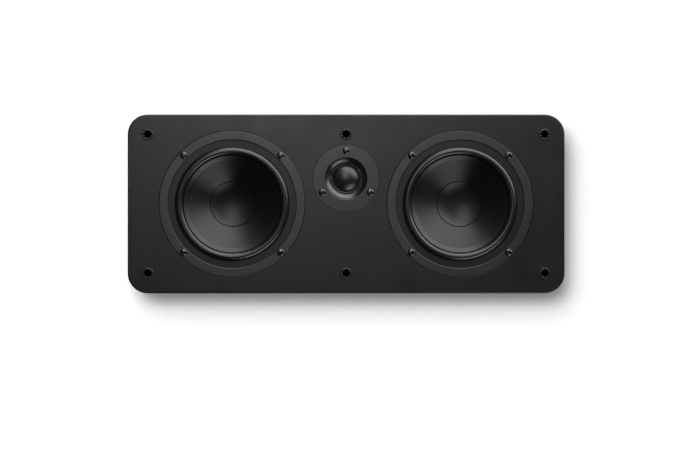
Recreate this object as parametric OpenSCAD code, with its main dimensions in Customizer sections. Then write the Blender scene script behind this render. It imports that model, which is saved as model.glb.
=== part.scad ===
// Wall speaker: a shallow painted wooden box with two cone drivers beside a dome driver, grille off.
// X runs along the long side and Z up. The front faces -Y, and the back lies in the wall's plane y = 0.

/* [Cabinet] */
// Width of the box
cab_w = 437; // [426:1:470]
// Height of the box
cab_h = 179; // [174:1:196]
// Depth of the box, from the wall to the front face
cab_d = 98; // [94:1:120]
// Radius of the four corners
corner_r = 20; // [14:1:26]
// Rounding of the front edge
edge_r = 1.4; // [0.6:0.2:3]
// Thickness of the sides
wall_t = 12; // [9:0.5:13]
// Thickness of the front board
baffle_t = 18; // [16:0.5:22]
// Thickness of the back board
back_t = 12; // [10:0.5:15]
// Thickness of the two braces
brace_t = 9; // [6:0.5:12]

/* [Cone drivers] */
// Distance between the centres of the two cone drivers
woofer_pitch = 228; // [222:1:244]
// Outer diameter of the flange
woofer_d = 146; // [140:1:149]
// Outer diameter of the rubber half roll
roll_d = 115; // [111:1:118]
// Width of the half roll
roll_w = 9; // [7:0.5:11]
// Depth of the cone
cone_depth = 20; // [16:0.5:22]
// Diameter of the hollow dust cap
cap_d = 44.6; // [38:0.2:50]
// Diameter of the voice coil
coil_d = 26; // [24:0.5:28]
// Diameter of the ring magnet
magnet_d = 86; // [78:1:94]
// Thickness of the ring magnet
magnet_t = 14; // [10:0.5:16]

/* [Dome driver] */
// Height of the dome driver's centre above the middle of the box
tweeter_z = 25.4; // [20:0.2:28]
// Diameter of its face plate
plate_d = 66.6; // [63:0.2:68]
// Diameter of the flare's mouth
mouth_d = 41.6; // [39:0.2:43]
// Diameter of the dome
dome_d = 26; // [24:0.5:27]
// Height of the dome
dome_h = 4.4; // [3:0.2:6]

/* [Grille sockets] */
// Distance of the corner sockets from the edges of the box
socket_inset = 20; // [17:0.5:24]
// Diameter of a socket's rim
socket_d = 11.8; // [11:0.2:14]
// Diameter of the round hole for a grille's peg
peg_d = 6.4; // [5:0.1:7]
// Depth of the peg's hole
peg_depth = 10; // [8:0.5:13]

/* [Terminals] */
// Distance between the two binding posts
post_pitch = 19; // [18:0.5:22]
// Height of the binding posts' centre above the lower edge of the box
post_lift = 49.5; // [47.5:0.5:51.5]
// Width of the terminal cup's flange
cup_w = 70; // [66:1:76]
// Height of the terminal cup's flange
cup_h = 56; // [50:1:60]
// Depth of the cup
cup_depth = 24; // [22:0.5:28]
// Diameter of the hole for a banana plug
plug_d = 4.1; // [4:0.05:4.3]
// Width of the channel that leads the cable down and out
channel_w = 10; // [8:0.5:14]

/* [Hangers] */
// Distance between the two keyholes
hanger_pitch = 300; // [240:1:340]
// Distance of the keyholes' round part from the upper edge of the box
keyhole_inset = 39.5; // [37.5:0.5:45.5]
// Diameter of the round part, which takes a screw's head
keyhole_d = 9.5; // [8:0.1:11]
// Width of the slot, which takes the screw's neck
slot_w = 4.8; // [4:0.1:6]

/* [Hidden] */
$fn = 96;

fit = 0.1;              // clearance of a fixed piece in its hole, on the radius
running_fit = 0.05;     // clearance of a turning or sliding piece, on the radius
hairline = 0.6;         // gap round a flange that is let into the front board
tip_gap = 0.5;          // room beyond a screw's tip

// Cone driver, in heights above the front face
seat_t = 4.5;           // depth of the seat for the flange
flange_t = 2.5;
trim_w = 8.8;           // width of the trim ring
trim_proud = 0.4;
rubber_t = 0.8;
roll_drop = 1.8;        // how much deeper the cone's rim lies than the roll's outer foot
foot_w = 4.6;           // width of the rubber glued to the cone's slope
paper_t = 0.9;
cap_hollow = 5;         // depth of the dust cap's hollow
wire_t = 0.8;           // thickness of the coil's winding
former_t = 0.5;
pole_gap = 0.5;         // gap on each side of the voice coil
basket_t = 2.5;
shell_depth = 10.2;     // depth at which the basket starts to narrow
ledge_drop = 6.1;       // spider's ledge below the cone's neck
ledge_w = 6.5;
spider_w = 29.5;        // from the coil to the ledge's outer edge
motor_drop = 8;         // basket's floor below the spider's ledge
plate_t = 5;            // thickness of the steel plates
spoke_count = 6;
window_w = 36;
window_r = 4;           // radius of the windows' corners
vent_w = 10;
winding_over = 3;       // how far the winding reaches past each side of the top plate
cone_screw_count = 4;
head_d = 7.2;
head_h = 2.2;
shank_d = 3.8;
shank_l = 16;

flange_r = woofer_d / 2;
seat_r = flange_r + hairline;
trim_in = flange_r - trim_w;
screw_r = flange_r - trim_w / 2;
z_flange = flange_t - seat_t;
roll_out = roll_d / 2;
roll_in = roll_out - roll_w;
z_rim = z_flange - roll_drop;
rim_r = roll_in - 0.3;
coil_r = coil_d / 2;
neck_r = coil_r + 0.15;
z_neck = z_rim - cone_depth;
cap_r = cap_d / 2;
z_ledge = z_neck - ledge_drop;
z_floor = z_ledge - motor_drop;
z_top_plate = z_floor - plate_t;
z_magnet = z_top_plate - magnet_t;
z_yoke = z_magnet - plate_t;
ledge_out = coil_r + spider_w;
shell_r = roll_out + 2.3;
cutout_r = shell_r + 0.8;
former_in = coil_r - former_t;
winding_r = coil_r + wire_t;
pole_r = former_in - pole_gap;
plate_hole_r = winding_r + pole_gap;
lug_l = 9;
lug_w = 16;
blade_w = 4.8;
blade_t = 0.8;
blade_gap = 8;          // distance between the two blades of a driver
blade_l = 14;
strip_t = 1.6;
spider_waves = 4;
spider_steps = 6;       // points on each wave
spider_swing = 1.1;
spider_t = 0.6;
spider_collar = 2;      // height of the spider's collar on the coil
spider_neck = 3;        // width of the flat ring round the collar
spider_ease = 0.4;      // how far the flat ring stops before the first wave
spider_rest = 0.8;      // how far the spider's edge stays inside the ledge's outer edge
spider_bend = 0.3;      // gap between the ledge and the spider's step down to it
spider_in = coil_r + fit;
spider_first = spider_in + spider_neck;
spider_last = ledge_out - ledge_w - spider_bend;
spider_z = z_ledge + spider_t;

// Dome driver
dome_seat_t = 3.5;
dome_proud = 0.2;
plate_r = plate_d / 2;
mouth_r = mouth_d / 2;
flare_r = 5;            // radius of the flare's curve
throat_r = mouth_r - flare_r;
boss_r = 24;
boss_depth = 8.5;
dome_r = dome_d / 2;
z_dome = -5.6;          // height of the dome's edge
silk_t = 0.3;
z_silk = -6.9;          // underside of the roll's flat edge
tweeter_coil_r = dome_r - 0.5;
tweeter_former_t = 0.3;
tweeter_wire_t = 0.5;
tweeter_gap = 0.5;
pole_disc_r = tweeter_coil_r - tweeter_former_t - tweeter_gap;
tweeter_cup_in = tweeter_coil_r + tweeter_wire_t + tweeter_gap;
tweeter_cup_out = tweeter_cup_in + 4.4;
pole_disc_t = 3;
slug_t = 7;
tweeter_floor_t = 3.5;
z_tweeter_floor = -boss_depth - pole_disc_t - slug_t;
rear_cup_t = 2;
rear_cup_depth = 38;
tweeter_strip_l = 20;
tweeter_strip_w = 8;
tweeter_blade_x = 5;    // distance of each blade from the middle
tweeter_blade_l = 8;
tweeter_screw_count = 3;
tweeter_screw_r = plate_r - 5.5;
tweeter_shank_l = 14;

// Grille sockets
socket_body_d = socket_d - 1.8;
socket_rim_h = 1;
socket_floor_t = 1.5;
rib_count = 8;
mouth_depth = 2.6;
mouth_core_r = peg_d / 2 + 0.25;
lobe_r = 1.1;
socket_x = cab_w / 2 - socket_inset;
socket_z = cab_h / 2 - socket_inset;

// Terminals, measured inward from the wall's plane
cup_t = 2;
cup_lip = 7;            // width of the flange round the cup
cup_corner = 4;
cup_screw_d = 3;
cup_screw_l = 10;
stud_d = 6;
stud_base_r = 5;
stud_base_h = 2;
collar_t = 1.4;
collar_r = 5.4;
post_cap_d = 12;
post_cap_l = 12;
post_cap_grooves = 12;
nut_d = 10;
nut_t = 4;
board_t = 1.6;
board_w = 64;
board_h = 72;
board_rise = 2;         // height of the board's middle above the posts
plug_depth = 13;
post_drop = cab_h / 2 - post_lift;
cap_hole_r = stud_d / 2 + running_fit;
z_cup_floor = -cup_depth;
z_board = z_cup_floor - cup_t - nut_t;
channel_depth = 8;
inductor_d = 26;
inductor_h = 16;
inductor_x = 17;        // distance of both inductors from the board's middle
inductor_drop = 20;
small_inductor_d = 22;
small_inductor_h = 13;
small_inductor_drop = 21;
bobbin_t = 1.5;         // thickness of a bobbin's end
capacitor_d = 12;
capacitor_l = 22;
capacitor_x = 19.5;
capacitor_rise = 14;
small_capacitor_d = 10;
small_capacitor_l = 20;
small_capacitor_x = 20; // distance of both small capacitors from the board's middle
small_capacitor_rise = 27;
short_capacitor_l = 18;
resistor_l = 22;
resistor_t = 6.4;
resistor_x = 19.5;
resistor_rise = 9;
resistor_pitch = 7.5;

// Hangers
hanger_w = 20;
hanger_h = 46;
hanger_t = 1.5;
hanger_screw_d = 6;
hanger_screw_pitch = 36;
hanger_screw_l = 10;
slot_rise = 9;
pocket_depth = 8;
head_room = 1.5;        // room round a screw's head behind the keyhole
slot_room = 3.5;        // room above the slot behind it
hanger_corner = 4;
hanger_shank_d = shank_d - 0.8;
keyhole_z = cab_h / 2 - keyhole_inset;

wrap_inner_r = max(corner_r - wall_t, 2);
inner_w = cab_w - 2 * wall_t;
inner_h = cab_h - 2 * wall_t;
brace_x = 36;
window_margin = 9;
window_corner = 12;
wadding_gap = 9.1;      // room between the wadding and the magnets' yokes
wadding_side = 3;       // room between the wadding and the sides
wadding_corner = 10;
wadding_t = cab_d - back_t + z_yoke - wadding_gap;
back_inset = 6;         // width of the sides' edge that shows round the back board
lead_r = 1.1;
lead_ref = [1, 1, 1];
lead_rings = 16;
lead_sides = 8;
pad_x = 29.5;           // distance of the cone drivers' solder pads from the board's middle
pad_gap = 5;
lead_out = 16;          // how straight a lead leaves the cone driver's blade
lead_in = 24;           // how straight it comes down on its pad
tweeter_lead_bend = 9;

// Places

// Puts a piece on the front face at (x, z), with its own +Z pointing out of the front
module at_front(x, z) {
    translate([x, -cab_d, z]) rotate([90, 0, 0]) children();
}

// Puts a piece on the wall's plane at (x, z), with its own +Z pointing at the wall
module at_back(x, z) {
    translate([x, 0, z]) rotate([90, 0, 180]) children();
}

module at_left() {
    at_front(-woofer_pitch / 2, 0) children();
}

// The right driver is turned round so that its terminals face the middle of the box
module at_right() {
    at_front(woofer_pitch / 2, 0) rotate([0, 0, 180]) children();
}

module at_tweeter() {
    at_front(0, tweeter_z) children();
}

module at_cup() {
    at_back(0, -post_drop) children();
}

module at_sockets() {
    for (x = [-socket_x, 0, socket_x], z = [-socket_z, socket_z])
        at_front(x, z) children();
}

module at_hangers() {
    for (side = [-1, 1])
        at_back(side * hanger_pitch / 2, keyhole_z) children();
}

// Sets copies evenly on a circle
module on_circle(count, radius, start) {
    for (k = [0:count - 1])
        rotate([0, 0, start + k * 360 / count]) translate([radius, 0, 0]) children();
}

// Shapes that repeat

module rounded_rect(w, h, r) {
    square([w - 2 * r, h], center = true);
    square([w, h - 2 * r], center = true);
    for (sx = [-1, 1], sy = [-1, 1])
        translate([sx * (w / 2 - r), sy * (h / 2 - r)]) circle(r);
}

// A ring from height z to z + h
module ring(outer, inner, z, h) {
    translate([0, 0, z]) difference() {
        cylinder(r = outer, h = h);
        translate([0, 0, -1]) cylinder(r = inner, h = h + 2);
    }
}

// A hole of radius r that goes down from height z by depth
module hole(r, z, depth) {
    translate([0, 0, z - depth]) cylinder(r = r, h = depth + 5);
}

// A pan head screw with its head's seat at height 0
module pan_screw(d, h, shank, length) {
    difference() {
        union() {
            cylinder(d = d, h = h * 0.45);
            translate([0, 0, h * 0.45]) cylinder(d1 = d, d2 = d * 0.62, h = h * 0.55);
            translate([0, 0, -length]) cylinder(d = shank, h = length);
        }
        for (turn = [0, 90])
            rotate([0, 0, turn]) translate([-d * 0.28, -d * 0.07, h * 0.45]) cube([d * 0.56, d * 0.14, h]);
    }
}

// A flat head screw whose head lies flush at height 0
module flat_screw(d, shank, length) {
    difference() {
        union() {
            translate([0, 0, -hanger_t]) cylinder(d1 = shank, d2 = d, h = hanger_t);
            translate([0, 0, -length]) cylinder(d = shank, h = length);
        }
        for (turn = [0, 90])
            rotate([0, 0, turn]) translate([-d * 0.3, -0.4, -hanger_t * 0.6]) cube([d * 0.6, 0.8, hanger_t]);
    }
}

// Points on a curve through four control points
function bezier(p, t) =
    pow(1 - t, 3) * p[0] + 3 * pow(1 - t, 2) * t * p[1] + 3 * (1 - t) * t * t * p[2] + t * t * t * p[3];
function bezier_way(p, t) =
    3 * pow(1 - t, 2) * (p[1] - p[0]) + 6 * (1 - t) * t * (p[2] - p[1]) + 3 * t * t * (p[3] - p[2]);
function unit(v) = v / norm(v);
function lead_ring(c, way) =
    let (u = unit(cross(way, lead_ref)), v = unit(cross(u, way)))
    [for (k = [0:lead_sides - 1])
        c + lead_r * (cos(k * 360 / lead_sides) * u + sin(k * 360 / lead_sides) * v)];

// A thin insulated wire along a curve
module lead(p) {
    points = [for (i = [0:lead_rings]) let (t = i / lead_rings) each lead_ring(bezier(p, t), bezier_way(p, t))];
    last = lead_rings * lead_sides;
    ends = [[for (k = [0:lead_sides - 1]) k], [for (k = [lead_sides - 1:-1:0]) last + k]];
    sides = [for (i = [0:lead_rings - 1], k = [0:lead_sides - 1])
        let (a = i * lead_sides + k, b = i * lead_sides + (k + 1) % lead_sides)
        [b, a, a + lead_sides, b + lead_sides]];
    polyhedron(points = points, faces = concat(ends, sides), convexity = 4);
}

// Cabinet

// Section of the front board's edge, with its front corner rounded
module edge_section(reach) {
    translate([0, -baffle_t]) square([reach, baffle_t - edge_r]);
    translate([0, -baffle_t]) square([reach - edge_r, baffle_t]);
    translate([reach - edge_r, -edge_r]) circle(edge_r);
}

module edge_bar(length) {
    rotate([90, 0, 0]) linear_extrude(length, center = true) edge_section(corner_r);
}

module front_blank() {
    dx = cab_w / 2 - corner_r;
    dy = cab_h / 2 - corner_r;
    translate([-dx, -dy, -baffle_t]) cube([2 * dx, 2 * dy, baffle_t]);
    for (side = [0, 180]) {
        rotate([0, 0, side]) translate([dx, 0, 0]) edge_bar(2 * dy);
        rotate([0, 0, side + 90]) translate([dy, 0, 0]) edge_bar(2 * dx);
    }
    for (sx = [0, 1], sy = [0, 1])
        mirror([sx, 0, 0]) mirror([0, sy, 0]) translate([dx, dy, 0])
            rotate_extrude(angle = 90) edge_section(corner_r);
}

module front_board() {
    color([0.13, 0.13, 0.13]) difference() {
        at_front(0, 0) front_blank();
        for (side = [-1, 1])
            at_front(side * woofer_pitch / 2, 0) {
                hole(seat_r, 0, seat_t);
                hole(cutout_r, 0, baffle_t + 1);
                on_circle(cone_screw_count, screw_r, 45)
                    hole(shank_d / 2 + fit, -seat_t, shank_l - seat_t + tip_gap);
            }
        at_tweeter() {
            hole(plate_r + hairline, 0, dome_seat_t);
            hole(boss_r + 0.4, 0, baffle_t + 1);
            on_circle(tweeter_screw_count, tweeter_screw_r, 90)
                hole(shank_d / 2 + fit, -dome_seat_t, tweeter_shank_l - dome_seat_t + tip_gap);
        }
        at_sockets() hole(socket_body_d / 2 + fit, 0, peg_depth + socket_floor_t + 0.3);
    }
}

// Channel in the back that leads the cable from the terminal cup down to the lower edge
module cable_channel() {
    low = -cab_h / 2 - 1;
    high = -post_drop - cup_h / 2 + cup_lip + cup_t + 1;
    translate([-channel_w / 2, -channel_depth, low]) cube([channel_w, channel_depth + 1, high - low]);
}

module cabinet_wrap() {
    color([0.12, 0.12, 0.12]) difference() {
        rotate([90, 0, 0]) linear_extrude(cab_d - baffle_t) rounded_rect(cab_w, cab_h, corner_r);
        translate([0, 1, 0]) rotate([90, 0, 0]) linear_extrude(cab_d)
            rounded_rect(inner_w, inner_h, wrap_inner_r);
        translate([0, 1, 0]) rotate([90, 0, 0]) linear_extrude(back_t + 1)
            rounded_rect(cab_w - 2 * back_inset, cab_h - 2 * back_inset, corner_r - back_inset);
        cable_channel();
    }
}

module back_board() {
    inset = back_inset + fit;
    color([0.1, 0.1, 0.1]) difference() {
        rotate([90, 0, 0]) linear_extrude(back_t)
            rounded_rect(cab_w - 2 * inset, cab_h - 2 * inset, corner_r - inset);
        at_cup() {
            translate([0, 0, -cup_t]) linear_extrude(cup_t + 1)
                rounded_rect(cup_w + 2 * fit, cup_h + 2 * fit, cup_corner + fit);
            translate([0, 0, -back_t - 1]) linear_extrude(back_t + 2)
                rounded_rect(cup_w - 2 * cup_lip + 2 * fit, cup_h - 2 * cup_lip + 2 * fit, cup_corner - 1);
            at_cup_screws() hole(cup_screw_d / 2 + fit, 0, cup_screw_l + tip_gap);
        }
        at_hangers() {
            translate([0, 0, -hanger_t]) linear_extrude(hanger_t + 1) hanger_outline(fit);
            translate([0, 0, -pocket_depth]) linear_extrude(pocket_depth) head_pocket();
            at_hanger_screws() hole(hanger_shank_d / 2 + fit, 0, hanger_screw_l + tip_gap);
        }
        cable_channel();
    }
}

module brace(side) {
    depth = cab_d - baffle_t - back_t;
    color([0.62, 0.5, 0.36]) translate([side * (brace_x + brace_t / 2), 0, 0]) difference() {
        translate([-brace_t / 2, -back_t - depth, -inner_h / 2]) cube([brace_t, depth, inner_h]);
        translate([-brace_t, -back_t - depth / 2, 0]) rotate([90, 0, 90]) linear_extrude(2 * brace_t)
            rounded_rect(depth - 2 * window_margin, inner_h - 6 * window_margin, window_corner);
    }
}

module wadding() {
    x_in = brace_x + brace_t + 2 * wadding_side;
    x_out = inner_w / 2 - wadding_side;
    color([0.85, 0.84, 0.8]) for (side = [-1, 1])
        translate([side * (x_in + x_out) / 2, -back_t, 0]) rotate([90, 0, 0]) linear_extrude(wadding_t)
            rounded_rect(x_out - x_in, inner_h - 2 * wadding_side, wadding_corner);
}

// Moulded socket with a ribbed mouth and a round hole behind it
module grille_sockets() {
    color([0.2, 0.2, 0.2]) at_sockets() difference() {
        union() {
            cylinder(d1 = socket_d, d2 = socket_d - 1.2, h = socket_rim_h);
            translate([0, 0, -peg_depth - socket_floor_t])
                cylinder(d = socket_body_d, h = peg_depth + socket_floor_t);
        }
        hole(peg_d / 2, socket_rim_h, peg_depth + socket_rim_h);
        hole(mouth_core_r, socket_rim_h, mouth_depth + socket_rim_h);
        on_circle(rib_count, mouth_core_r, 0) hole(lobe_r, socket_rim_h, mouth_depth + socket_rim_h);
    }
}

module hanger_outline(grow) {
    rounded_rect(hanger_w + 2 * grow, hanger_h + 2 * grow, hanger_corner + grow);
}

// Room behind the keyhole for the screw's head
module head_pocket() {
    translate([-keyhole_d / 2 - head_room, -keyhole_d / 2 - head_room])
        square([keyhole_d + 2 * head_room, keyhole_d + slot_rise + head_room + slot_room]);
}

module at_hanger_screws() {
    for (side = [-1, 1])
        translate([0, side * hanger_screw_pitch / 2, 0]) children();
}

module keyhole_plates() {
    color([0.75, 0.75, 0.76]) at_hangers() difference() {
        translate([0, 0, -hanger_t]) linear_extrude(hanger_t) hanger_outline(0);
        hole(keyhole_d / 2, 0, hanger_t + 1);
        translate([-slot_w / 2, 0, -hanger_t - 1]) cube([slot_w, slot_rise, hanger_t + 2]);
        translate([0, slot_rise, 0]) hole(slot_w / 2, 0, hanger_t + 1);
        at_hanger_screws() translate([0, 0, -hanger_t])
            cylinder(d1 = hanger_shank_d + 2 * fit, d2 = hanger_screw_d + 2 * fit, h = hanger_t);
        at_hanger_screws() hole(hanger_shank_d / 2 + fit, 0, hanger_t + 1);
    }
}

module keyhole_screws() {
    color([0.7, 0.7, 0.7]) at_hangers() at_hanger_screws()
        flat_screw(hanger_screw_d, hanger_shank_d, hanger_screw_l);
}

// Cone driver

function cone_z(r) = z_rim - cone_depth * (rim_r - r) / (rim_r - neck_r);

module basket_section() {
    polygon([
        [winding_r + 2, z_floor], [ledge_out + 2.5, z_floor], [ledge_out + 2.5, z_ledge - 1],
        [shell_r, -shell_depth], [shell_r, -seat_t], [flange_r, -seat_t], [flange_r, z_flange],
        [roll_out - 0.5, z_flange], [roll_out - 0.5, -shell_depth + 0.7], [ledge_out, z_ledge],
        [ledge_out - ledge_w, z_ledge], [ledge_out - ledge_w, z_floor + basket_t],
        [winding_r + 2, z_floor + basket_t]
    ]);
}

module basket() {
    window_h = -shell_depth - z_ledge - 3;
    difference() {
        union() {
            rotate_extrude() basket_section();
            translate([ledge_out, -lug_w / 2, z_floor]) cube([lug_l, lug_w, basket_t]);
        }
        for (k = [0:spoke_count - 1])
            rotate([0, 0, (k + 0.5) * 360 / spoke_count])
                translate([ledge_out - 1, 0, z_ledge + 1.5 + window_h / 2]) rotate([90, 0, 90])
                    linear_extrude(flange_r - ledge_out) rounded_rect(window_w, window_h, window_r);
        on_circle(cone_screw_count, screw_r, 45) hole(shank_d / 2 + fit, 0, seat_t + 1);
        translate([0, 0, z_floor]) vent_slots();
    }
}

// Slots that let air out from under the spider
module vent_slots() {
    for (k = [0:spoke_count - 1])
        rotate([0, 0, k * 360 / spoke_count]) translate([ledge_out - ledge_w - 1, -vent_w / 2, basket_t + 0.8])
            cube([ledge_w + vent_w / 2, vent_w, motor_drop - basket_t - 3]);
}

module trim_ring() {
    difference() {
        ring(flange_r, trim_in, z_flange, trim_proud - z_flange);
        on_circle(cone_screw_count, screw_r, 45) hole(shank_d / 2 + fit, trim_proud, trim_proud - z_flange + 1);
    }
}

// Half roll with a flat lip outside and a foot that lies on the cone
module surround() {
    roll_r = roll_w / 2;
    foot_in = roll_in - foot_w;
    root = 0.3;             // how far the foot's wall goes up into the roll
    wall_in = roll_in + 0.05;
    wall_out = roll_in + rubber_t - 0.05;
    rotate_extrude() {
        translate([roll_out - rubber_t, z_flange]) square([trim_in - fit - roll_out + rubber_t, rubber_t]);
        intersection() {
            translate([roll_out - roll_r, z_flange]) difference() {
                circle(roll_r);
                circle(roll_r - rubber_t);
            }
            translate([roll_in - 1, z_flange]) square([roll_w + 2, roll_w]);
        }
    }
    rotate_extrude() polygon([
        [wall_in, z_flange + root], [wall_out, z_flange + root], [wall_out, z_rim], [rim_r, z_rim],
        [foot_in, cone_z(foot_in)], [foot_in, cone_z(foot_in) + rubber_t], [rim_r, z_rim + rubber_t],
        [wall_in, z_rim + rubber_t]
    ]);
}

module cone() {
    drop = paper_t * norm([cone_depth, rim_r - neck_r]) / (rim_r - neck_r);
    rotate_extrude()
        polygon([[rim_r, z_rim], [neck_r, z_neck], [neck_r, z_neck - drop], [rim_r, z_rim - drop]]);
}

// Hollow cap with a foot that follows the cone
module dust_cap() {
    hollow_r = (cap_r * cap_r + cap_hollow * cap_hollow) / (2 * cap_hollow);
    z_edge = cone_z(cap_r) + 1;
    z_centre = z_edge - cap_hollow + hollow_r;
    foot_r = cap_r - 1.2;
    half_z = z_centre - sqrt(hollow_r * hollow_r - cap_r * cap_r / 4);
    rotate_extrude() difference() {
        polygon([
            [0, z_edge - cap_hollow - paper_t], [cap_r / 2, half_z - paper_t], [foot_r, cone_z(foot_r) + 0.05],
            [cap_r, cone_z(cap_r) + 0.05], [cap_r, z_edge], [0, z_edge]
        ]);
        translate([0, z_centre]) circle(hollow_r, $fn = 360);
    }
}

module spider() {
    count = spider_waves * spider_steps;
    path = [for (i = [0:count])
        [spider_first + (spider_last - spider_first) * i / count, spider_swing * sin(360 * i / spider_steps)]];
    rotate_extrude() translate([0, spider_z]) polygon(concat(
        [[spider_in, -spider_collar], [spider_in, spider_t / 2], [spider_first - spider_ease, spider_t / 2]],
        [for (p = path) p + [0, spider_t / 2]],
        [for (z = [spider_t / 2, -spider_t]) [ledge_out - spider_rest, z]],
        [[spider_last, -spider_t]],
        [for (i = [count:-1:0]) path[i] - [0, spider_t / 2]],
        [for (z = [-spider_t / 2, -spider_collar]) [spider_in + spider_t, z]]
    ));
}

module voice_coil() {
    z_low = z_top_plate - winding_over;
    z_high = z_neck + 0.6;
    ring(coil_r, former_in, z_low, z_high - z_low);
    ring(winding_r, coil_r, z_low, plate_t + 2 * winding_over);
}

module top_plate() {
    ring(magnet_d / 2 - 4, plate_hole_r, z_top_plate, plate_t);
}

module ring_magnet() {
    ring(magnet_d / 2, plate_hole_r + 6, z_magnet, magnet_t);
}

module yoke() {
    difference() {
        union() {
            translate([0, 0, z_yoke]) cylinder(r = magnet_d / 2 - 4, h = plate_t);
            translate([0, 0, z_magnet]) cylinder(r = pole_r, h = z_floor - z_magnet);
        }
        translate([0, 0, z_yoke - 1]) cylinder(r = pole_r * 0.4, h = z_floor - z_yoke + 2);
    }
}

// Strip with two blades on the basket's lug
module driver_terminals() {
    z_strip = z_floor + basket_t;
    x = ledge_out + 2.5 + fit;
    translate([x, -lug_w / 2, z_strip]) cube([lug_l - 2.5 - fit, lug_w, strip_t]);
    for (side = [-1, 1])
        translate([x, side * blade_gap / 2 - blade_w / 2, z_strip + strip_t]) cube([blade_l, blade_w, blade_t]);
}

module cone_screws() {
    on_circle(cone_screw_count, screw_r, 45) translate([0, 0, trim_proud])
        pan_screw(head_d, head_h, shank_d, shank_l + trim_proud);
}

module left_basket() color([0.16, 0.16, 0.17]) at_left() basket();
module left_trim_ring() color([0.17, 0.17, 0.17]) at_left() trim_ring();
module left_surround() color([0.1, 0.1, 0.1]) at_left() surround();
module left_cone() color([0.09, 0.09, 0.09]) at_left() cone();
module left_dust_cap() color([0.09, 0.09, 0.09]) at_left() dust_cap();
module left_spider() color([0.8, 0.62, 0.25]) at_left() spider();
module left_voice_coil() color([0.72, 0.4, 0.2]) at_left() voice_coil();
module left_top_plate() color([0.7, 0.7, 0.68]) at_left() top_plate();
module left_magnet() color([0.22, 0.22, 0.23]) at_left() ring_magnet();
module left_yoke() color([0.7, 0.7, 0.68]) at_left() yoke();
module left_terminals() color([0.8, 0.7, 0.45]) at_left() driver_terminals();
module left_screws() color([0.12, 0.12, 0.12]) at_left() cone_screws();

module right_basket() color([0.16, 0.16, 0.17]) at_right() basket();
module right_trim_ring() color([0.17, 0.17, 0.17]) at_right() trim_ring();
module right_surround() color([0.1, 0.1, 0.1]) at_right() surround();
module right_cone() color([0.09, 0.09, 0.09]) at_right() cone();
module right_dust_cap() color([0.09, 0.09, 0.09]) at_right() dust_cap();
module right_spider() color([0.8, 0.62, 0.25]) at_right() spider();
module right_voice_coil() color([0.72, 0.4, 0.2]) at_right() voice_coil();
module right_top_plate() color([0.7, 0.7, 0.68]) at_right() top_plate();
module right_magnet() color([0.22, 0.22, 0.23]) at_right() ring_magnet();
module right_yoke() color([0.7, 0.7, 0.68]) at_right() yoke();
module right_terminals() color([0.8, 0.7, 0.45]) at_right() driver_terminals();
module right_screws() color([0.12, 0.12, 0.12]) at_right() cone_screws();

// Dome driver

module tweeter_face_plate() {
    color([0.13, 0.13, 0.13]) at_tweeter() difference() {
        rotate_extrude() difference() {
            polygon([
                [throat_r, z_silk + silk_t], [tweeter_cup_out + 0.2, z_silk + silk_t],
                [tweeter_cup_out + 0.2, -boss_depth], [boss_r, -boss_depth], [boss_r, -dome_seat_t],
                [plate_r, -dome_seat_t], [plate_r, dome_proud], [throat_r, dome_proud]
            ]);
            translate([throat_r, dome_proud]) circle(flare_r);
        }
        on_circle(tweeter_screw_count, tweeter_screw_r, 90)
            hole(shank_d / 2 + fit, dome_proud, dome_proud + dome_seat_t + 1);
    }
}

module tweeter_dome() {
    ball_r = (dome_r * dome_r + dome_h * dome_h) / (2 * dome_h);
    color([0.1, 0.1, 0.1]) at_tweeter() rotate_extrude() {
        intersection() {
            translate([0, z_dome + dome_h - ball_r]) difference() {
                circle(ball_r);
                circle(ball_r - silk_t);
            }
            translate([0, z_dome]) square([dome_r, dome_h + 1]);
        }
        translate([tweeter_coil_r, z_dome - 1]) square([dome_r - tweeter_coil_r, 1.2]);
    }
}

// The dome's own half roll, with the flat edge that is clamped under the face plate
module tweeter_roll() {
    in = dome_r + fit;
    out = throat_r - 0.2;
    mid = (in + out) / 2;
    color([0.08, 0.08, 0.08]) at_tweeter() rotate_extrude() {
        intersection() {
            translate([mid, z_silk]) difference() {
                circle((out - in) / 2);
                circle((out - in) / 2 - silk_t);
            }
            translate([in, z_silk]) square([out - in, out - in]);
        }
        translate([out - silk_t, z_silk]) square([tweeter_cup_out - out, silk_t]);
    }
}

module tweeter_coil() {
    z_low = -boss_depth - pole_disc_t - 0.8;
    color([0.72, 0.4, 0.2]) at_tweeter() {
        ring(tweeter_coil_r, tweeter_coil_r - tweeter_former_t, z_low, z_dome - 0.2 - z_low);
        ring(tweeter_coil_r + tweeter_wire_t, tweeter_coil_r, z_low, pole_disc_t + 1);
    }
}

module tweeter_top_plate() {
    color([0.7, 0.7, 0.68]) at_tweeter() translate([0, 0, -boss_depth - pole_disc_t])
        cylinder(r = pole_disc_r, h = pole_disc_t);
}

module tweeter_magnet() {
    color([0.6, 0.6, 0.62]) at_tweeter() translate([0, 0, z_tweeter_floor])
        cylinder(r = pole_disc_r - 0.4, h = slug_t);
}

module tweeter_yoke() {
    color([0.7, 0.7, 0.68]) at_tweeter() difference() {
        translate([0, 0, z_tweeter_floor - tweeter_floor_t])
            cylinder(r = tweeter_cup_out, h = -boss_depth - z_tweeter_floor + tweeter_floor_t);
        hole(tweeter_cup_in, -boss_depth, -boss_depth - z_tweeter_floor);
    }
}

module tweeter_rear_cup() {
    color([0.15, 0.15, 0.15]) at_tweeter() difference() {
        translate([0, 0, -rear_cup_depth]) cylinder(r = boss_r - 0.5, h = rear_cup_depth - boss_depth);
        hole(boss_r - 0.5 - rear_cup_t, -boss_depth, rear_cup_depth - boss_depth - rear_cup_t);
        ring(tweeter_cup_out + 0.3, 0, -boss_depth - 1, 2);
    }
    color([0.15, 0.15, 0.15]) at_tweeter()
        ring(boss_r - 0.5 - rear_cup_t + 0.1, tweeter_cup_out + 0.1, z_tweeter_floor - 2, 4);
}

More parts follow.
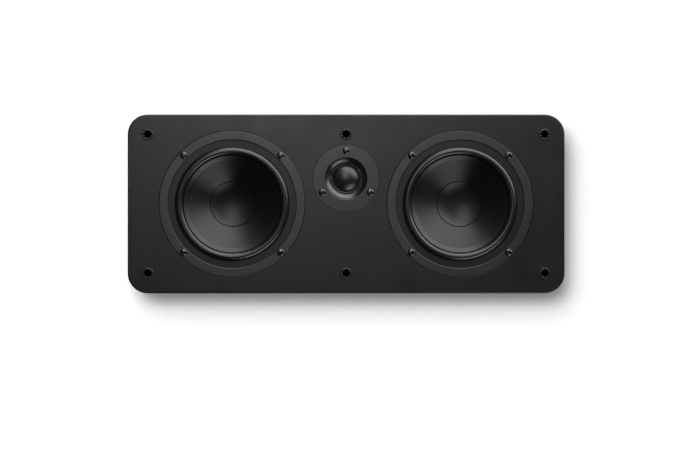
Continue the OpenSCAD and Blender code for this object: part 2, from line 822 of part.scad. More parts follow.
module tweeter_terminals() {
    z_strip = -rear_cup_depth - strip_t;
    color([0.8, 0.7, 0.45]) at_tweeter() {
        translate([-tweeter_strip_l / 2, -tweeter_strip_w / 2, z_strip])
            cube([tweeter_strip_l, tweeter_strip_w, strip_t]);
        for (side = [-1, 1])
            translate([side * tweeter_blade_x - blade_w / 2, -blade_t / 2, z_strip - tweeter_blade_l])
                cube([blade_w, blade_t, tweeter_blade_l]);
    }
}

module tweeter_screws() {
    color([0.12, 0.12, 0.12]) at_tweeter() on_circle(tweeter_screw_count, tweeter_screw_r, 90)
        translate([0, 0, dome_proud]) pan_screw(head_d, head_h, shank_d, tweeter_shank_l + dome_proud);
}

// Terminals

module at_cup_screws() {
    for (sx = [-1, 1], sy = [-1, 1])
        translate([sx * (cup_w / 2 - cup_lip / 2), sy * (cup_h / 2 - cup_lip / 2), 0]) children();
}

// Red stands at the right of somebody who looks at the back
module at_post(side) {
    at_cup() translate([side * post_pitch / 2, 0, 0]) children();
}

module terminal_cup() {
    body_w = cup_w - 2 * cup_lip;
    body_h = cup_h - 2 * cup_lip;
    color([0.08, 0.08, 0.08]) difference() {
        at_cup() difference() {
            union() {
                translate([0, 0, -cup_t]) linear_extrude(cup_t) rounded_rect(cup_w, cup_h, cup_corner);
                translate([0, 0, z_cup_floor - cup_t]) linear_extrude(cup_depth)
                    rounded_rect(body_w, body_h, cup_corner - 1);
            }
            translate([0, 0, z_cup_floor]) linear_extrude(cup_depth + 1)
                rounded_rect(body_w - 2 * cup_t, body_h - 2 * cup_t, cup_corner - 2);
            for (side = [-1, 1])
                translate([side * post_pitch / 2, 0, 0]) hole(stud_d / 2 + fit, z_cup_floor, cup_t + 1);
            at_cup_screws() translate([0, 0, -cup_t - 1]) cylinder(d = cup_screw_d + 2 * fit, h = cup_t + 2);
            at_cup_screws() translate([0, 0, -hanger_t])
                cylinder(d1 = cup_screw_d + 2 * fit, d2 = hanger_screw_d + 2 * fit, h = hanger_t);
        }
        cable_channel();
    }
}

module cup_screws() {
    color([0.12, 0.12, 0.12]) at_cup() at_cup_screws() flat_screw(hanger_screw_d, cup_screw_d, cup_screw_l);
}

// Hollow threaded stud with its foot on the cup's floor
module post() {
    z_tip = z_cup_floor + stud_base_h + collar_t + post_cap_l;
    z_tail = z_board - board_t - nut_t;
    difference() {
        union() {
            translate([0, 0, z_cup_floor]) cylinder(r = stud_base_r, h = stud_base_h, $fn = 6);
            translate([0, 0, z_tail]) cylinder(d = stud_d, h = z_tip - z_tail);
        }
        hole(plug_d / 2, z_tip, plug_depth);
    }
}

module collar() {
    ring(collar_r, cap_hole_r, z_cup_floor + stud_base_h, collar_t);
}

// Turned cap with grooves that give the fingers a grip
module post_cap() {
    z_low = z_cup_floor + stud_base_h + collar_t;
    difference() {
        union() {
            translate([0, 0, z_low]) cylinder(d = post_cap_d - 2, h = post_cap_l);
            translate([0, 0, z_low + 2]) cylinder(d = post_cap_d, h = post_cap_l - 3);
        }
        translate([0, 0, z_low - 1]) cylinder(r = cap_hole_r, h = post_cap_l + 2);
        on_circle(post_cap_grooves, post_cap_d / 2 + 0.3, 180 / post_cap_grooves)
            translate([0, 0, z_low + 1]) cylinder(r = 0.8, h = post_cap_l + 1);
    }
}

module red_post() color([0.85, 0.7, 0.35]) at_post(1) post();
module black_post() color([0.85, 0.7, 0.35]) at_post(-1) post();
module red_collar() color([0.85, 0.7, 0.35]) at_post(1) collar();
module black_collar() color([0.85, 0.7, 0.35]) at_post(-1) collar();
module red_cap() color([0.7, 0.08, 0.06]) at_post(1) post_cap();
module black_cap() color([0.07, 0.07, 0.07]) at_post(-1) post_cap();

module post_nuts() {
    color([0.8, 0.8, 0.78]) for (side = [-1, 1])
        at_post(side) for (z = [z_cup_floor - cup_t - nut_t, z_board - board_t - nut_t + 0.5])
            translate([0, 0, z]) difference() {
                cylinder(d = nut_d, h = z == z_cup_floor - cup_t - nut_t ? nut_t : nut_t - 0.5, $fn = 6);
                translate([0, 0, -1]) cylinder(d = stud_d + 2 * fit, h = nut_t + 2);
            }
}

// Crossover network, on a board that the posts' nuts carry

module on_board(x, y) {
    at_cup() translate([x, y, z_board - board_t]) children();
}

module crossover_board() {
    color([0.35, 0.3, 0.12]) at_cup() difference() {
        translate([-board_w / 2, board_rise - board_h / 2, z_board - board_t])
            cube([board_w, board_h, board_t]);
        for (side = [-1, 1])
            translate([side * post_pitch / 2, 0, 0]) hole(stud_d / 2 + fit, z_board, board_t + 1);
    }
}

// Bobbin with its winding
module inductor(d, h) {
    translate([0, 0, -h]) difference() {
        union() {
            cylinder(d = d, h = bobbin_t);
            translate([0, 0, bobbin_t]) cylinder(d = d - bobbin_t, h = h - 2 * bobbin_t);
            translate([0, 0, h - bobbin_t]) cylinder(d = d, h = bobbin_t);
        }
        translate([0, 0, -1]) cylinder(d = d * 0.35, h = h + 2);
    }
}

module crossover_inductors() {
    color([0.7, 0.36, 0.15]) {
        on_board(inductor_x, -inductor_drop) inductor(inductor_d, inductor_h);
        on_board(-inductor_x, -small_inductor_drop) inductor(small_inductor_d, small_inductor_h);
    }
}

module capacitor(d, l) {
    translate([-l / 2, 0, -d / 2]) rotate([0, 90, 0]) cylinder(d = d, h = l);
}

module crossover_capacitors() {
    color([0.75, 0.7, 0.3]) {
        on_board(capacitor_x, capacitor_rise) capacitor(capacitor_d, capacitor_l);
        on_board(small_capacitor_x, small_capacitor_rise) capacitor(small_capacitor_d, small_capacitor_l);
        on_board(-small_capacitor_x, small_capacitor_rise) capacitor(small_capacitor_d, short_capacitor_l);
    }
}

module crossover_resistors() {
    color([0.9, 0.88, 0.82]) for (k = [0, 1])
        on_board(-resistor_x, resistor_rise + k * resistor_pitch)
            translate([-resistor_l / 2, -resistor_t / 2, -resistor_t])
                cube([resistor_l, resistor_t, resistor_t]);
}

// Leads that join the crossover board to the drivers

module woofer_leads() {
    tip_x = -woofer_pitch / 2 + ledge_out + 2.5 + fit + blade_l;
    tip_y = -cab_d - z_floor - basket_t - strip_t - blade_t / 2;
    for (side = [-1, 1]) {
        start = [tip_x, tip_y, side * blade_gap / 2];
        end = [-pad_x, z_board - board_t, -post_drop + side * pad_gap / 2];
        lead([start, start + [lead_out, 0, 0], end - [0, lead_in, 0], end]);
    }
}

module left_leads() {
    color([0.6, 0.6, 0.62]) woofer_leads();
}

module right_leads() {
    color([0.6, 0.6, 0.62]) mirror([1, 0, 0]) woofer_leads();
}

module tweeter_leads() {
    color([0.6, 0.6, 0.62]) for (side = [-1, 1]) {
        start = [side * tweeter_blade_x, -cab_d + rear_cup_depth + strip_t + tweeter_blade_l, tweeter_z];
        end = [side * tweeter_blade_x, z_board - board_t, -post_drop + board_h / 2 - board_rise];
        lead([start, start + [0, tweeter_lead_bend, 0], end - [0, tweeter_lead_bend, 0], end]);
    }
}

front_board();
cabinet_wrap();
back_board();
brace(-1);  // brace_left
brace(1);  // brace_right
wadding();
grille_sockets();
keyhole_plates();
keyhole_screws();
left_basket();
left_trim_ring();
left_surround();
left_cone();
left_dust_cap();
left_spider();
left_voice_coil();
left_top_plate();
left_magnet();
left_yoke();
left_terminals();
left_screws();
right_basket();
right_trim_ring();
right_surround();
right_cone();
right_dust_cap();
right_spider();
right_voice_coil();
right_top_plate();
right_magnet();
right_yoke();
right_terminals();
right_screws();
tweeter_face_plate();
tweeter_dome();
tweeter_roll();
tweeter_coil();
tweeter_top_plate();
tweeter_magnet();
tweeter_yoke();
tweeter_rear_cup();
tweeter_terminals();
tweeter_screws();
terminal_cup();
cup_screws();
red_post();
black_post();
red_collar();
black_collar();
red_cap();
black_cap();
post_nuts();
crossover_board();
crossover_inductors();
crossover_capacitors();
crossover_resistors();
left_leads();
right_leads();
tweeter_leads();
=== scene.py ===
"""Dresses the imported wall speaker: a black box with two cone drivers beside a dome driver.

The grille is off, as in the photograph. Sizes are in millimetres until a mesh is made, and the studio's are
in metres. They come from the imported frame, or are fields of the class that uses them. A place on the front or
the back is given by a Seat, whose own height points out of that face.
"""

import logging
import math
from collections.abc import Sequence
from dataclasses import dataclass, field, replace
from enum import Enum, IntEnum
from typing import Protocol

import bmesh
import bpy
from mathutils import Matrix, Vector


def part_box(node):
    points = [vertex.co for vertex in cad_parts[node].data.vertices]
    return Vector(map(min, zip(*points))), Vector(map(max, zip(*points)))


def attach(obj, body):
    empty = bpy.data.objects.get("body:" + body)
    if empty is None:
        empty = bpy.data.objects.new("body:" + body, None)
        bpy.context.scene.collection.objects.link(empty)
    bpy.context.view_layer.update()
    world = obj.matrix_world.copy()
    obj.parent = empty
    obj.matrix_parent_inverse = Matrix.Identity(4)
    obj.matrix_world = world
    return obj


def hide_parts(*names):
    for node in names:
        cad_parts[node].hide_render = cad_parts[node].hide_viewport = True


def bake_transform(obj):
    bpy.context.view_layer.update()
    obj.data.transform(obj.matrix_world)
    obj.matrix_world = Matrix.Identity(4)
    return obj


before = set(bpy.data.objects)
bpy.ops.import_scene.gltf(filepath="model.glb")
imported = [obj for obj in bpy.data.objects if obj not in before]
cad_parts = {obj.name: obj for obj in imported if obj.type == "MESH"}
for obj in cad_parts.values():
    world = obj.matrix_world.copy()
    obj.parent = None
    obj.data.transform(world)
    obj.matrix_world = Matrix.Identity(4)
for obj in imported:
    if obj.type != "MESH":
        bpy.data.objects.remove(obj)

MM = 0.001
PHOTO_WIDTH = 688

# Two faces that meet at more than this angle, in degrees, have a sharp edge
SHARP_ANGLE = 32.0
# A point of a profile that is nearer to the axis than this, in millimetres, lies on it
ON_AXIS = 1e-6
# The part of a side that one rounded corner may take up
FILLET_SHARE = 0.49
# The power of an area lamp, in watts, over its radiance and its area
POWER_SHARE = 4.0

Point = tuple[float, float]
Triple = tuple[float, float, float]
Inputs = dict[str | int, object]

log = logging.getLogger("wall_speaker")


class Facing(Enum):
    """Which way a seat looks, as the sign of its height along the frame's Y."""

    ROOM = -1
    WALL = 1


class Facets(IntEnum):
    """How many facets go round a piece, by what it is."""

    DRIVER = 192
    POST = 144
    DOME = 128
    SOCKET = 96
    BORE = 48
    SCREW_HOLE = 32


@dataclass(frozen=True)
class Seat:
    """A place on the front or the back of the box, with the height of a piece pointing out of that face."""

    x: float
    z: float
    face_y: float
    facing: Facing = Facing.ROOM

    def place(self, across: float, up: float, height: float) -> Triple:
        """Turns a point of this seat into one of the frame.

        Args:
            across: distance along the frame's X, in millimetres.
            up: distance along the frame's Z, in millimetres.
            height: distance out of the face, in millimetres.

        Returns:
            The point in metres.
        """
        return ((self.x + across) * MM, (self.face_y + self.facing.value * height) * MM, (self.z + up) * MM)

    def moved(self, across: float, up: float) -> "Seat":
        """Returns the same seat at a distance along the face."""
        return Seat(self.x + across, self.z + up, self.face_y, self.facing)


@dataclass(frozen=True)
class Box:
    """The extent of one CAD node, in millimetres."""

    low: Triple
    high: Triple

    @classmethod
    def of(cls, node: str) -> "Box":
        """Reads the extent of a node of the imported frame."""
        low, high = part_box(node)
        return cls(tuple(v / MM for v in low), tuple(v / MM for v in high))

    @property
    def centre(self) -> Triple:
        """The middle of the extent."""
        return tuple((a + b) / 2 for a, b in zip(self.low, self.high))

    @property
    def radius(self) -> float:
        """Half the extent along X, which is the radius of a round node."""
        return (self.high[0] - self.low[0]) / 2


# Outlines


class Outline(Protocol):
    """A closed line on a face that can be drawn larger or smaller with the same number of points."""

    def points(self, offset: float) -> list[Point]:
        """Returns the line, moved outwards by offset."""


@dataclass(frozen=True)
class Circle:
    """A round outline."""

    radius: float
    x: float = 0.0
    y: float = 0.0
    count: int = Facets.SOCKET

    def points(self, offset: float) -> list[Point]:
        """Returns the circle, larger by offset."""
        r, turn = self.radius + offset, 2 * math.pi / self.count
        return [(self.x + r * math.cos(k * turn), self.y + r * math.sin(k * turn)) for k in range(self.count)]


@dataclass(frozen=True)
class RoundRect:
    """A rectangle with round corners."""

    width: float
    height: float
    corner: float
    x: float = 0.0
    y: float = 0.0
    steps: int = 12

    def points(self, offset: float) -> list[Point]:
        """Draws the rectangle.

        Args:
            offset: how far each side is moved outwards.

        Returns:
            The points, from the upper right-hand corner on.
        """
        r = self.corner + offset
        dx, dy = self.width / 2 - self.corner, self.height / 2 - self.corner
        found = []
        for quarter, (sx, sy) in enumerate(((1, 1), (-1, 1), (-1, -1), (1, -1))):
            for k in range(self.steps + 1):
                a = (quarter + k / self.steps) * math.pi / 2
                found.append((self.x + sx * dx + r * math.cos(a), self.y + sy * dy + r * math.sin(a)))
        return found


@dataclass(frozen=True)
class Keyhole:
    """A round hole with a slot above it."""

    radius: float
    slot_radius: float
    rise: float
    steps: int = 24

    def points(self, offset: float) -> list[Point]:
        """Draws the keyhole.

        Args:
            offset: how far its line is moved outwards.

        Returns:
            The points of the round hole, then those of the slot's end.
        """
        r, s = self.radius + offset, self.slot_radius + offset
        meet = math.asin(s / r)
        sweep = 2 * math.pi - 2 * meet
        bowl = [math.pi / 2 + meet + sweep * k / (2 * self.steps) for k in range(2 * self.steps + 1)]
        arch = [math.pi * k / self.steps for k in range(self.steps + 1)]
        found = [(r * math.cos(a), r * math.sin(a)) for a in bowl]
        return found + [(s * math.cos(a), self.rise + s * math.sin(a)) for a in arch]


@dataclass(frozen=True)
class Scallop:
    """A round hole with a ring of lobes, as the ribs of a moulded socket leave it."""

    core: float
    lobe: float
    lobes: int
    count: int = Facets.SOCKET

    def points(self, offset: float) -> list[Point]:
        """Draws the hole.

        Args:
            offset: how far its line is moved outwards.

        Returns:
            The points all round.
        """
        found = []
        pitch = 2 * math.pi / self.lobes
        for k in range(self.count):
            a = 2 * math.pi * k / self.count
            off = (a + pitch / 2) % pitch - pitch / 2
            r = self.core + offset
            gap = (self.lobe + offset) ** 2 - (self.core * math.sin(off)) ** 2
            if gap > 0:
                r = max(r, self.core * math.cos(off) + math.sqrt(gap))
            found.append((r * math.cos(a), r * math.sin(a)))
        return found


@dataclass(frozen=True)
class Gear:
    """A round outline with grooves cut into it, as on a cap that fingers turn."""

    radius: float
    depth: float
    grooves: int
    count: int = Facets.POST

    def points(self, offset: float) -> list[Point]:
        """Draws the outline.

        Args:
            offset: how far it is moved outwards.

        Returns:
            The points all round.
        """
        found = []
        for k in range(self.count):
            a = 2 * math.pi * k / self.count
            dip = max(0.0, math.cos(self.grooves * a + math.pi)) ** 2
            r = self.radius + offset - self.depth * dip
            found.append((r * math.cos(a), r * math.sin(a)))
        return found


@dataclass(frozen=True)
class Stage:
    """One line of a wall: an outline, how far it is moved outwards, and its height."""

    outline: Outline
    offset: float
    height: float


def edge(outline: Outline, height: float, radius: float, inward: bool = False, steps: int = 5) -> list[Stage]:
    """Rounds the edge between a face and the wall below it.

    Args:
        outline: the line of the wall.
        height: height of the face.
        radius: radius of the rounding.
        inward: true for the edge of a hole.
        steps: number of facets.

    Returns:
        The stages from the face down to the wall.
    """
    side = 1 if inward else -1
    found = []
    for k in range(steps + 1):
        a = k / steps * math.pi / 2
        found.append(Stage(outline, side * radius * (1 - math.sin(a)), height - radius * (1 - math.cos(a))))
    return found


def rounded(profile: list[tuple[float, ...]], steps: int = 4) -> list[Point]:
    """Rounds the corners of a profile.

    Args:
        profile: points of radius, height and, where the corner is rounded, its radius.
        steps: number of facets of each corner.

    Returns:
        The points of radius and height.
    """
    found: list[Point] = []
    count = len(profile)
    for k, point in enumerate(profile):
        here = point[:2]
        fillet = point[2] if len(point) > 2 else 0.0
        if fillet <= 0:
            found.append(here)
            continue
        before, after = profile[k - 1][:2], profile[(k + 1) % count][:2]
        ins = [b - h for b, h in zip(before, here)]
        out = [a - h for a, h in zip(after, here)]
        in_l, out_l = math.hypot(*ins), math.hypot(*out)
        ins, out = [v / in_l for v in ins], [v / out_l for v in out]
        half = math.acos(max(-1.0, min(1.0, ins[0] * out[0] + ins[1] * out[1]))) / 2
        reach = min(fillet / math.tan(half), in_l * FILLET_SHARE, out_l * FILLET_SHARE)
        radius = reach * math.tan(half)
        way = (ins[0] + out[0], ins[1] + out[1])
        length = math.hypot(*way)
        middle = [h + w / length * radius / math.sin(half) for h, w in zip(here, way)]
        first = [h + i * reach - m for h, i, m in zip(here, ins, middle)]
        turn = math.pi - 2 * half
        if ins[0] * out[1] - ins[1] * out[0] > 0:
            turn = -turn
        for s in range(steps + 1):
            c, w = math.cos(turn * s / steps), math.sin(turn * s / steps)
            found.append((middle[0] + first[0] * c - first[1] * w, middle[1] + first[0] * w + first[1] * c))
    return found


def arc(x: float, y: float, radius: float, start: float, end: float, steps: int) -> list[Point]:
    """Returns the points of an arc, its angles in degrees."""
    turns = [math.radians(start + (end - start) * k / steps) for k in range(steps + 1)]
    return [(x + radius * math.cos(a), y + radius * math.sin(a)) for a in turns]


# Meshes


@dataclass
class Shape:
    """Collects the vertices and faces of one piece, and makes its Blender object."""

    name: str
    smooth_below: float = SHARP_ANGLE
    mesh: bmesh.types.BMesh = field(default_factory=bmesh.new)

    def lathe(
        self, seat: Seat, profile: list[Point], segments: int = Facets.DRIVER, close: bool = True
    ) -> "Shape":
        """Turns a profile about the middle of a seat.

        Args:
            seat: where the axis stands.
            profile: points of radius and height.
            segments: number of steps round the axis.
            close: true if the last point is joined to the first.

        Returns:
            This shape.
        """
        rings = []
        for r, h in profile:
            if r < ON_AXIS:
                rings.append([self.mesh.verts.new(seat.place(0, 0, h))] * segments)
                continue
            turn = 2 * math.pi / segments
            rings.append(
                [
                    self.mesh.verts.new(seat.place(r * math.cos(k * turn), r * math.sin(k * turn), h))
                    for k in range(segments)
                ]
            )
        pairs = list(zip(rings, rings[1:]))
        if close:
            pairs.append((rings[-1], rings[0]))
        for low, high in pairs:
            self.band(low, high)
        return self

    def wedge(
        self, seat: Seat, profile: list[Point], begin: float, span: float, segments: int = 24
    ) -> "Shape":
        """Turns a closed profile about the middle of a seat, over part of a circle.

        Args:
            seat: where the axis stands.
            profile: points of radius and height.
            begin: angle at which the wedge begins, in degrees.
            span: how far it goes round, in degrees.
            segments: number of steps round the axis.

        Returns:
            This shape.
        """
        turns = [math.radians(begin + span * k / segments) for k in range(segments + 1)]
        lines = []
        for r, h in profile:
            line = [seat.place(r * math.cos(a), r * math.sin(a), h) for a in turns]
            lines.append([self.mesh.verts.new(point) for point in line])
        for low, high in zip(lines, lines[1:] + lines[:1]):
            for k in range(segments):
                self.mesh.faces.new((low[k], low[k + 1], high[k + 1], high[k]))
        for k in (0, -1):
            self.mesh.faces.new([line[k] for line in lines])
        return self

    def band(self, low: list[bmesh.types.BMVert], high: list[bmesh.types.BMVert]) -> None:
        """Joins two closed lines of vertices with faces.

        Args:
            low: one line.
            high: the other, with as many vertices.
        """
        count = len(low)
        for k in range(count):
            corners = []
            for v in (low[k], low[(k + 1) % count], high[(k + 1) % count], high[k]):
                if v not in corners:
                    corners.append(v)
            if len(corners) > 2:
                self.mesh.faces.new(corners)

    def plate(self, seat: Seat, walls: list[list[Stage]], blind: Sequence[list[Stage]] = ()) -> "Shape":
        """Builds a plate from its walls: the outer one first, then its through holes, then its blind holes.

        Args:
            seat: where the plate lies.
            walls: stages from the front face to the back face, of the outer wall and of each through hole.
            blind: stages from the front face to the floor of each blind hole.

        Returns:
            This shape.
        """
        tops, bottoms = [], []
        for wall, through in [(wall, True) for wall in walls] + [(wall, False) for wall in blind]:
            lines = []
            for stage in wall:
                outline = stage.outline.points(stage.offset)
                lines.append([self.mesh.verts.new(seat.place(x, y, stage.height)) for x, y in outline])
            for low, high in zip(lines, lines[1:]):
                self.band(low, high)
            tops.append(lines[0])
            if through:
                bottoms.append(lines[-1])
            else:
                self.mesh.faces.new(lines[-1])
        for lines in (tops, bottoms):
            self._cover(lines)
        return self

    def _cover(self, lines: list[list[bmesh.types.BMVert]]) -> None:
        """Fills the flat area between closed lines of vertices.

        Args:
            lines: the outer line, then the line of each hole.
        """
        if len(lines) == 1:
            self.mesh.faces.new(lines[0])
            return
        edges = []
        for line in lines:
            for a, b in zip(line, line[1:] + line[:1]):
                edges.append(self.mesh.edges.get((a, b)) or self.mesh.edges.new((a, b)))
        bmesh.ops.triangle_fill(self.mesh, use_beauty=True, use_dissolve=False, edges=edges)

    def done(self, finish: "Finish", weighted: bool = True) -> bpy.types.Object:
        """Makes the object and gives it its material.

        Args:
            finish: what it is made of.
            weighted: true to let large faces stay flat where they meet rounded edges.

        Returns:
            The object, not yet on a body.
        """
        bmesh.ops.recalc_face_normals(self.mesh, faces=self.mesh.faces)
        data = bpy.data.meshes.new(self.name)
        self.mesh.to_mesh(data)
        self.mesh.free()
        data.shade_smooth()
        data.set_sharp_from_angle(angle=math.radians(self.smooth_below))
        data.materials.append(finish.material())
        made = bpy.data.objects.new(self.name, data)
        bpy.context.scene.collection.objects.link(made)
        if weighted:
            flatten(made)
        return made


def flatten(piece: bpy.types.Object) -> None:
    """Keeps a piece's large faces flat where they meet rounded edges.

    Args:
        piece: the piece, whose mesh is smooth with sharp edges marked.
    """
    normals = piece.modifiers.new("flat faces", "WEIGHTED_NORMAL")
    normals.keep_sharp = True


def settle(piece: bpy.types.Object, body: str, slot: str, *nodes: str) -> None:
    """Puts a piece on its body, in the place of the nodes that it stands for.

    Args:
        piece: the finished piece.
        body: the CAD body that it moves with.
        slot: the material slot of the record. It is not used.
        nodes: the CAD nodes that it replaces.
    """
    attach(piece, body)
    if nodes:
        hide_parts(*nodes)
    log.info("%s rides on %s", piece.name, body)


# Finishes


@dataclass(frozen=True)
class Wiring:
    """Adds nodes to a node tree, and joins them."""

    tree: bpy.types.NodeTree

    def fill(self, node: bpy.types.Node, inputs: Inputs) -> bpy.types.Node:
        """Gives a node's inputs their values and links.

        Args:
            node: the node.
            inputs: by name or number, an input's value or the output that drives it.

        Returns:
            The node.
        """
        for key, value in inputs.items():
            if isinstance(value, bpy.types.NodeSocket):
                self.tree.links.new(value, node.inputs[key])
            else:
                node.inputs[key].default_value = value
        return node

    def add(self, kind: str, inputs: Inputs | None = None, operation: str = "") -> bpy.types.Node:
        """Adds a node.

        Args:
            kind: type of the node.
            inputs: by name or number, an input's value or the output that drives it.
            operation: what a node of mathematics does.

        Returns:
            The node.
        """
        node = self.tree.nodes.new(kind)
        if operation:
            node.operation = operation
        return self.fill(node, inputs or {})

    def output(
        self, kind: str, inputs: Inputs | None = None, operation: str = "", name: str | int = 0
    ) -> bpy.types.NodeSocket:
        """Adds a node, and returns its output of that name or number."""
        return self.add(kind, inputs, operation).outputs[name]


class Effects:
    """The shader node groups that the finishes share. Each is made once."""

    # The broad noise is that share of the fine one's scale. The gain makes it run from minus two to two
    FINE_DETAIL = 3.0
    BROAD_DETAIL = 4.0
    BROAD_SHARE = 0.03
    NOISE_GAIN = 4.0
    HALF_WAVE = 0.5

    @staticmethod
    def _open(name: str, inputs: list[tuple[str, str, object]], outputs: list[tuple[str, str]]) -> Wiring:
        """Starts a group with its sockets.

        Args:
            name: name of the group.
            inputs: name, type and value of each input.
            outputs: name and type of each output.

        Returns:
            The wiring of the group.
        """
        tree = bpy.data.node_groups.new(name, "ShaderNodeTree")
        for label, kind, value in inputs:
            socket = tree.interface.new_socket(label, in_out="INPUT", socket_type=kind)
            socket.default_value = value
        for label, kind in outputs:
            tree.interface.new_socket(label, in_out="OUTPUT", socket_type=kind)
        return Wiring(tree)

    @classmethod
    def grain(cls) -> bpy.types.NodeTree:
        """Fine unevenness of a surface: a height for the bump, and changes of tone and roughness.

        Returns:
            The group, with the outputs Height, Colour and Roughness.
        """
        found = bpy.data.node_groups.get("surface grain")
        if found:
            return found
        wiring = cls._open(
            "surface grain",
            [
                ("Size", "NodeSocketFloat", 900.0),
                ("Stretch", "NodeSocketVector", (1.0, 1.0, 1.0)),
                ("Colour", "NodeSocketColor", (0.02, 0.02, 0.02, 1.0)),
                ("Tone change", "NodeSocketFloat", 0.1),
                ("Roughness", "NodeSocketFloat", 0.4),
                ("Roughness change", "NodeSocketFloat", 0.05),
            ],
            [("Height", "NodeSocketFloat"), ("Colour", "NodeSocketColor"), ("Roughness", "NodeSocketFloat")],
        )
        enter = wiring.add("NodeGroupInput").outputs
        place = wiring.output("ShaderNodeTexCoord", name="Object")
        stretched = wiring.output("ShaderNodeVectorMath", {0: place, 1: enter["Stretch"]}, "MULTIPLY")
        fine = wiring.output(
            "ShaderNodeTexNoise", {"Vector": stretched, "Scale": enter["Size"], "Detail": cls.FINE_DETAIL}
        )
        broad_size = wiring.output("ShaderNodeMath", {0: enter["Size"], 1: cls.BROAD_SHARE}, "MULTIPLY")
        broad = wiring.output(
            "ShaderNodeTexNoise", {"Vector": stretched, "Scale": broad_size, "Detail": cls.BROAD_DETAIL}
        )
        tone = cls._spread(wiring, broad, enter["Tone change"], 1.0)
        shade = wiring.output("ShaderNodeVectorMath", {0: enter["Colour"], "Scale": tone}, "SCALE")
        rough = cls._spread(wiring, broad, enter["Roughness change"], 0.0)
        total = wiring.output("ShaderNodeMath", {0: enter["Roughness"], 1: rough}, "ADD")
        wiring.add("NodeGroupOutput", {"Height": fine, "Colour": shade, "Roughness": total})
        return wiring.tree

    @classmethod
    def _spread(
        cls, wiring: Wiring, noise: bpy.types.NodeSocket, amount: bpy.types.NodeSocket, middle: float
    ) -> bpy.types.NodeSocket:
        """Turns a noise round one half into one round another middle.

        Args:
            wiring: the group that gets the nodes.
            noise: the noise.
            amount: how far the result goes each way.
            middle: the result's middle.

        Returns:
            The result.
        """
        gain = {0: noise, 1: cls.NOISE_GAIN, 2: -cls.NOISE_GAIN / 2}
        centred = wiring.output("ShaderNodeMath", gain, "MULTIPLY_ADD")
        return wiring.output("ShaderNodeMath", {0: centred, 1: amount, 2: middle}, "MULTIPLY_ADD")

    @classmethod
    def turned(cls) -> bpy.types.NodeTree:
        """Fine rings round an axis along Y, as a lathe leaves them.

        Returns:
            The group, with the output Height.
        """
        found = bpy.data.node_groups.get("turned rings")
        if found:
            return found
        wiring = cls._open(
            "turned rings",
            [("Axis", "NodeSocketVector", (0.0, 0.0, 0.0)), ("Pitch", "NodeSocketFloat", 0.001)],
            [("Height", "NodeSocketFloat")],
        )
        enter = wiring.add("NodeGroupInput").outputs
        place = wiring.output("ShaderNodeTexCoord", name="Object")
        away = wiring.output("ShaderNodeVectorMath", {0: place, 1: enter["Axis"]}, "SUBTRACT")
        flat = wiring.output("ShaderNodeVectorMath", {0: away, 1: (1.0, 0.0, 1.0)}, "MULTIPLY")
        far = wiring.output("ShaderNodeVectorMath", {0: flat}, "LENGTH", "Value")
        count = wiring.output("ShaderNodeMath", {0: far, 1: enter["Pitch"]}, "DIVIDE")
        wave = wiring.output("ShaderNodeMath", {0: count, 1: cls.HALF_WAVE}, "PINGPONG")
        wiring.add("NodeGroupOutput", {"Height": wave})
        return wiring.tree


@dataclass(frozen=True)
class Grain:
    """How uneven a surface is. Size is in bumps per metre, and height in millimetres."""

    size: float = 900.0
    stretch: Triple = (1.0, 1.0, 1.0)
    height: float = 0.02
    tone: float = 0.1
    rough: float = 0.04


@dataclass(frozen=True)
class Rings:
    """Fine rings round a seat's axis. Pitch and height are in millimetres."""

    x: float
    z: float
    pitch: float
    height: float


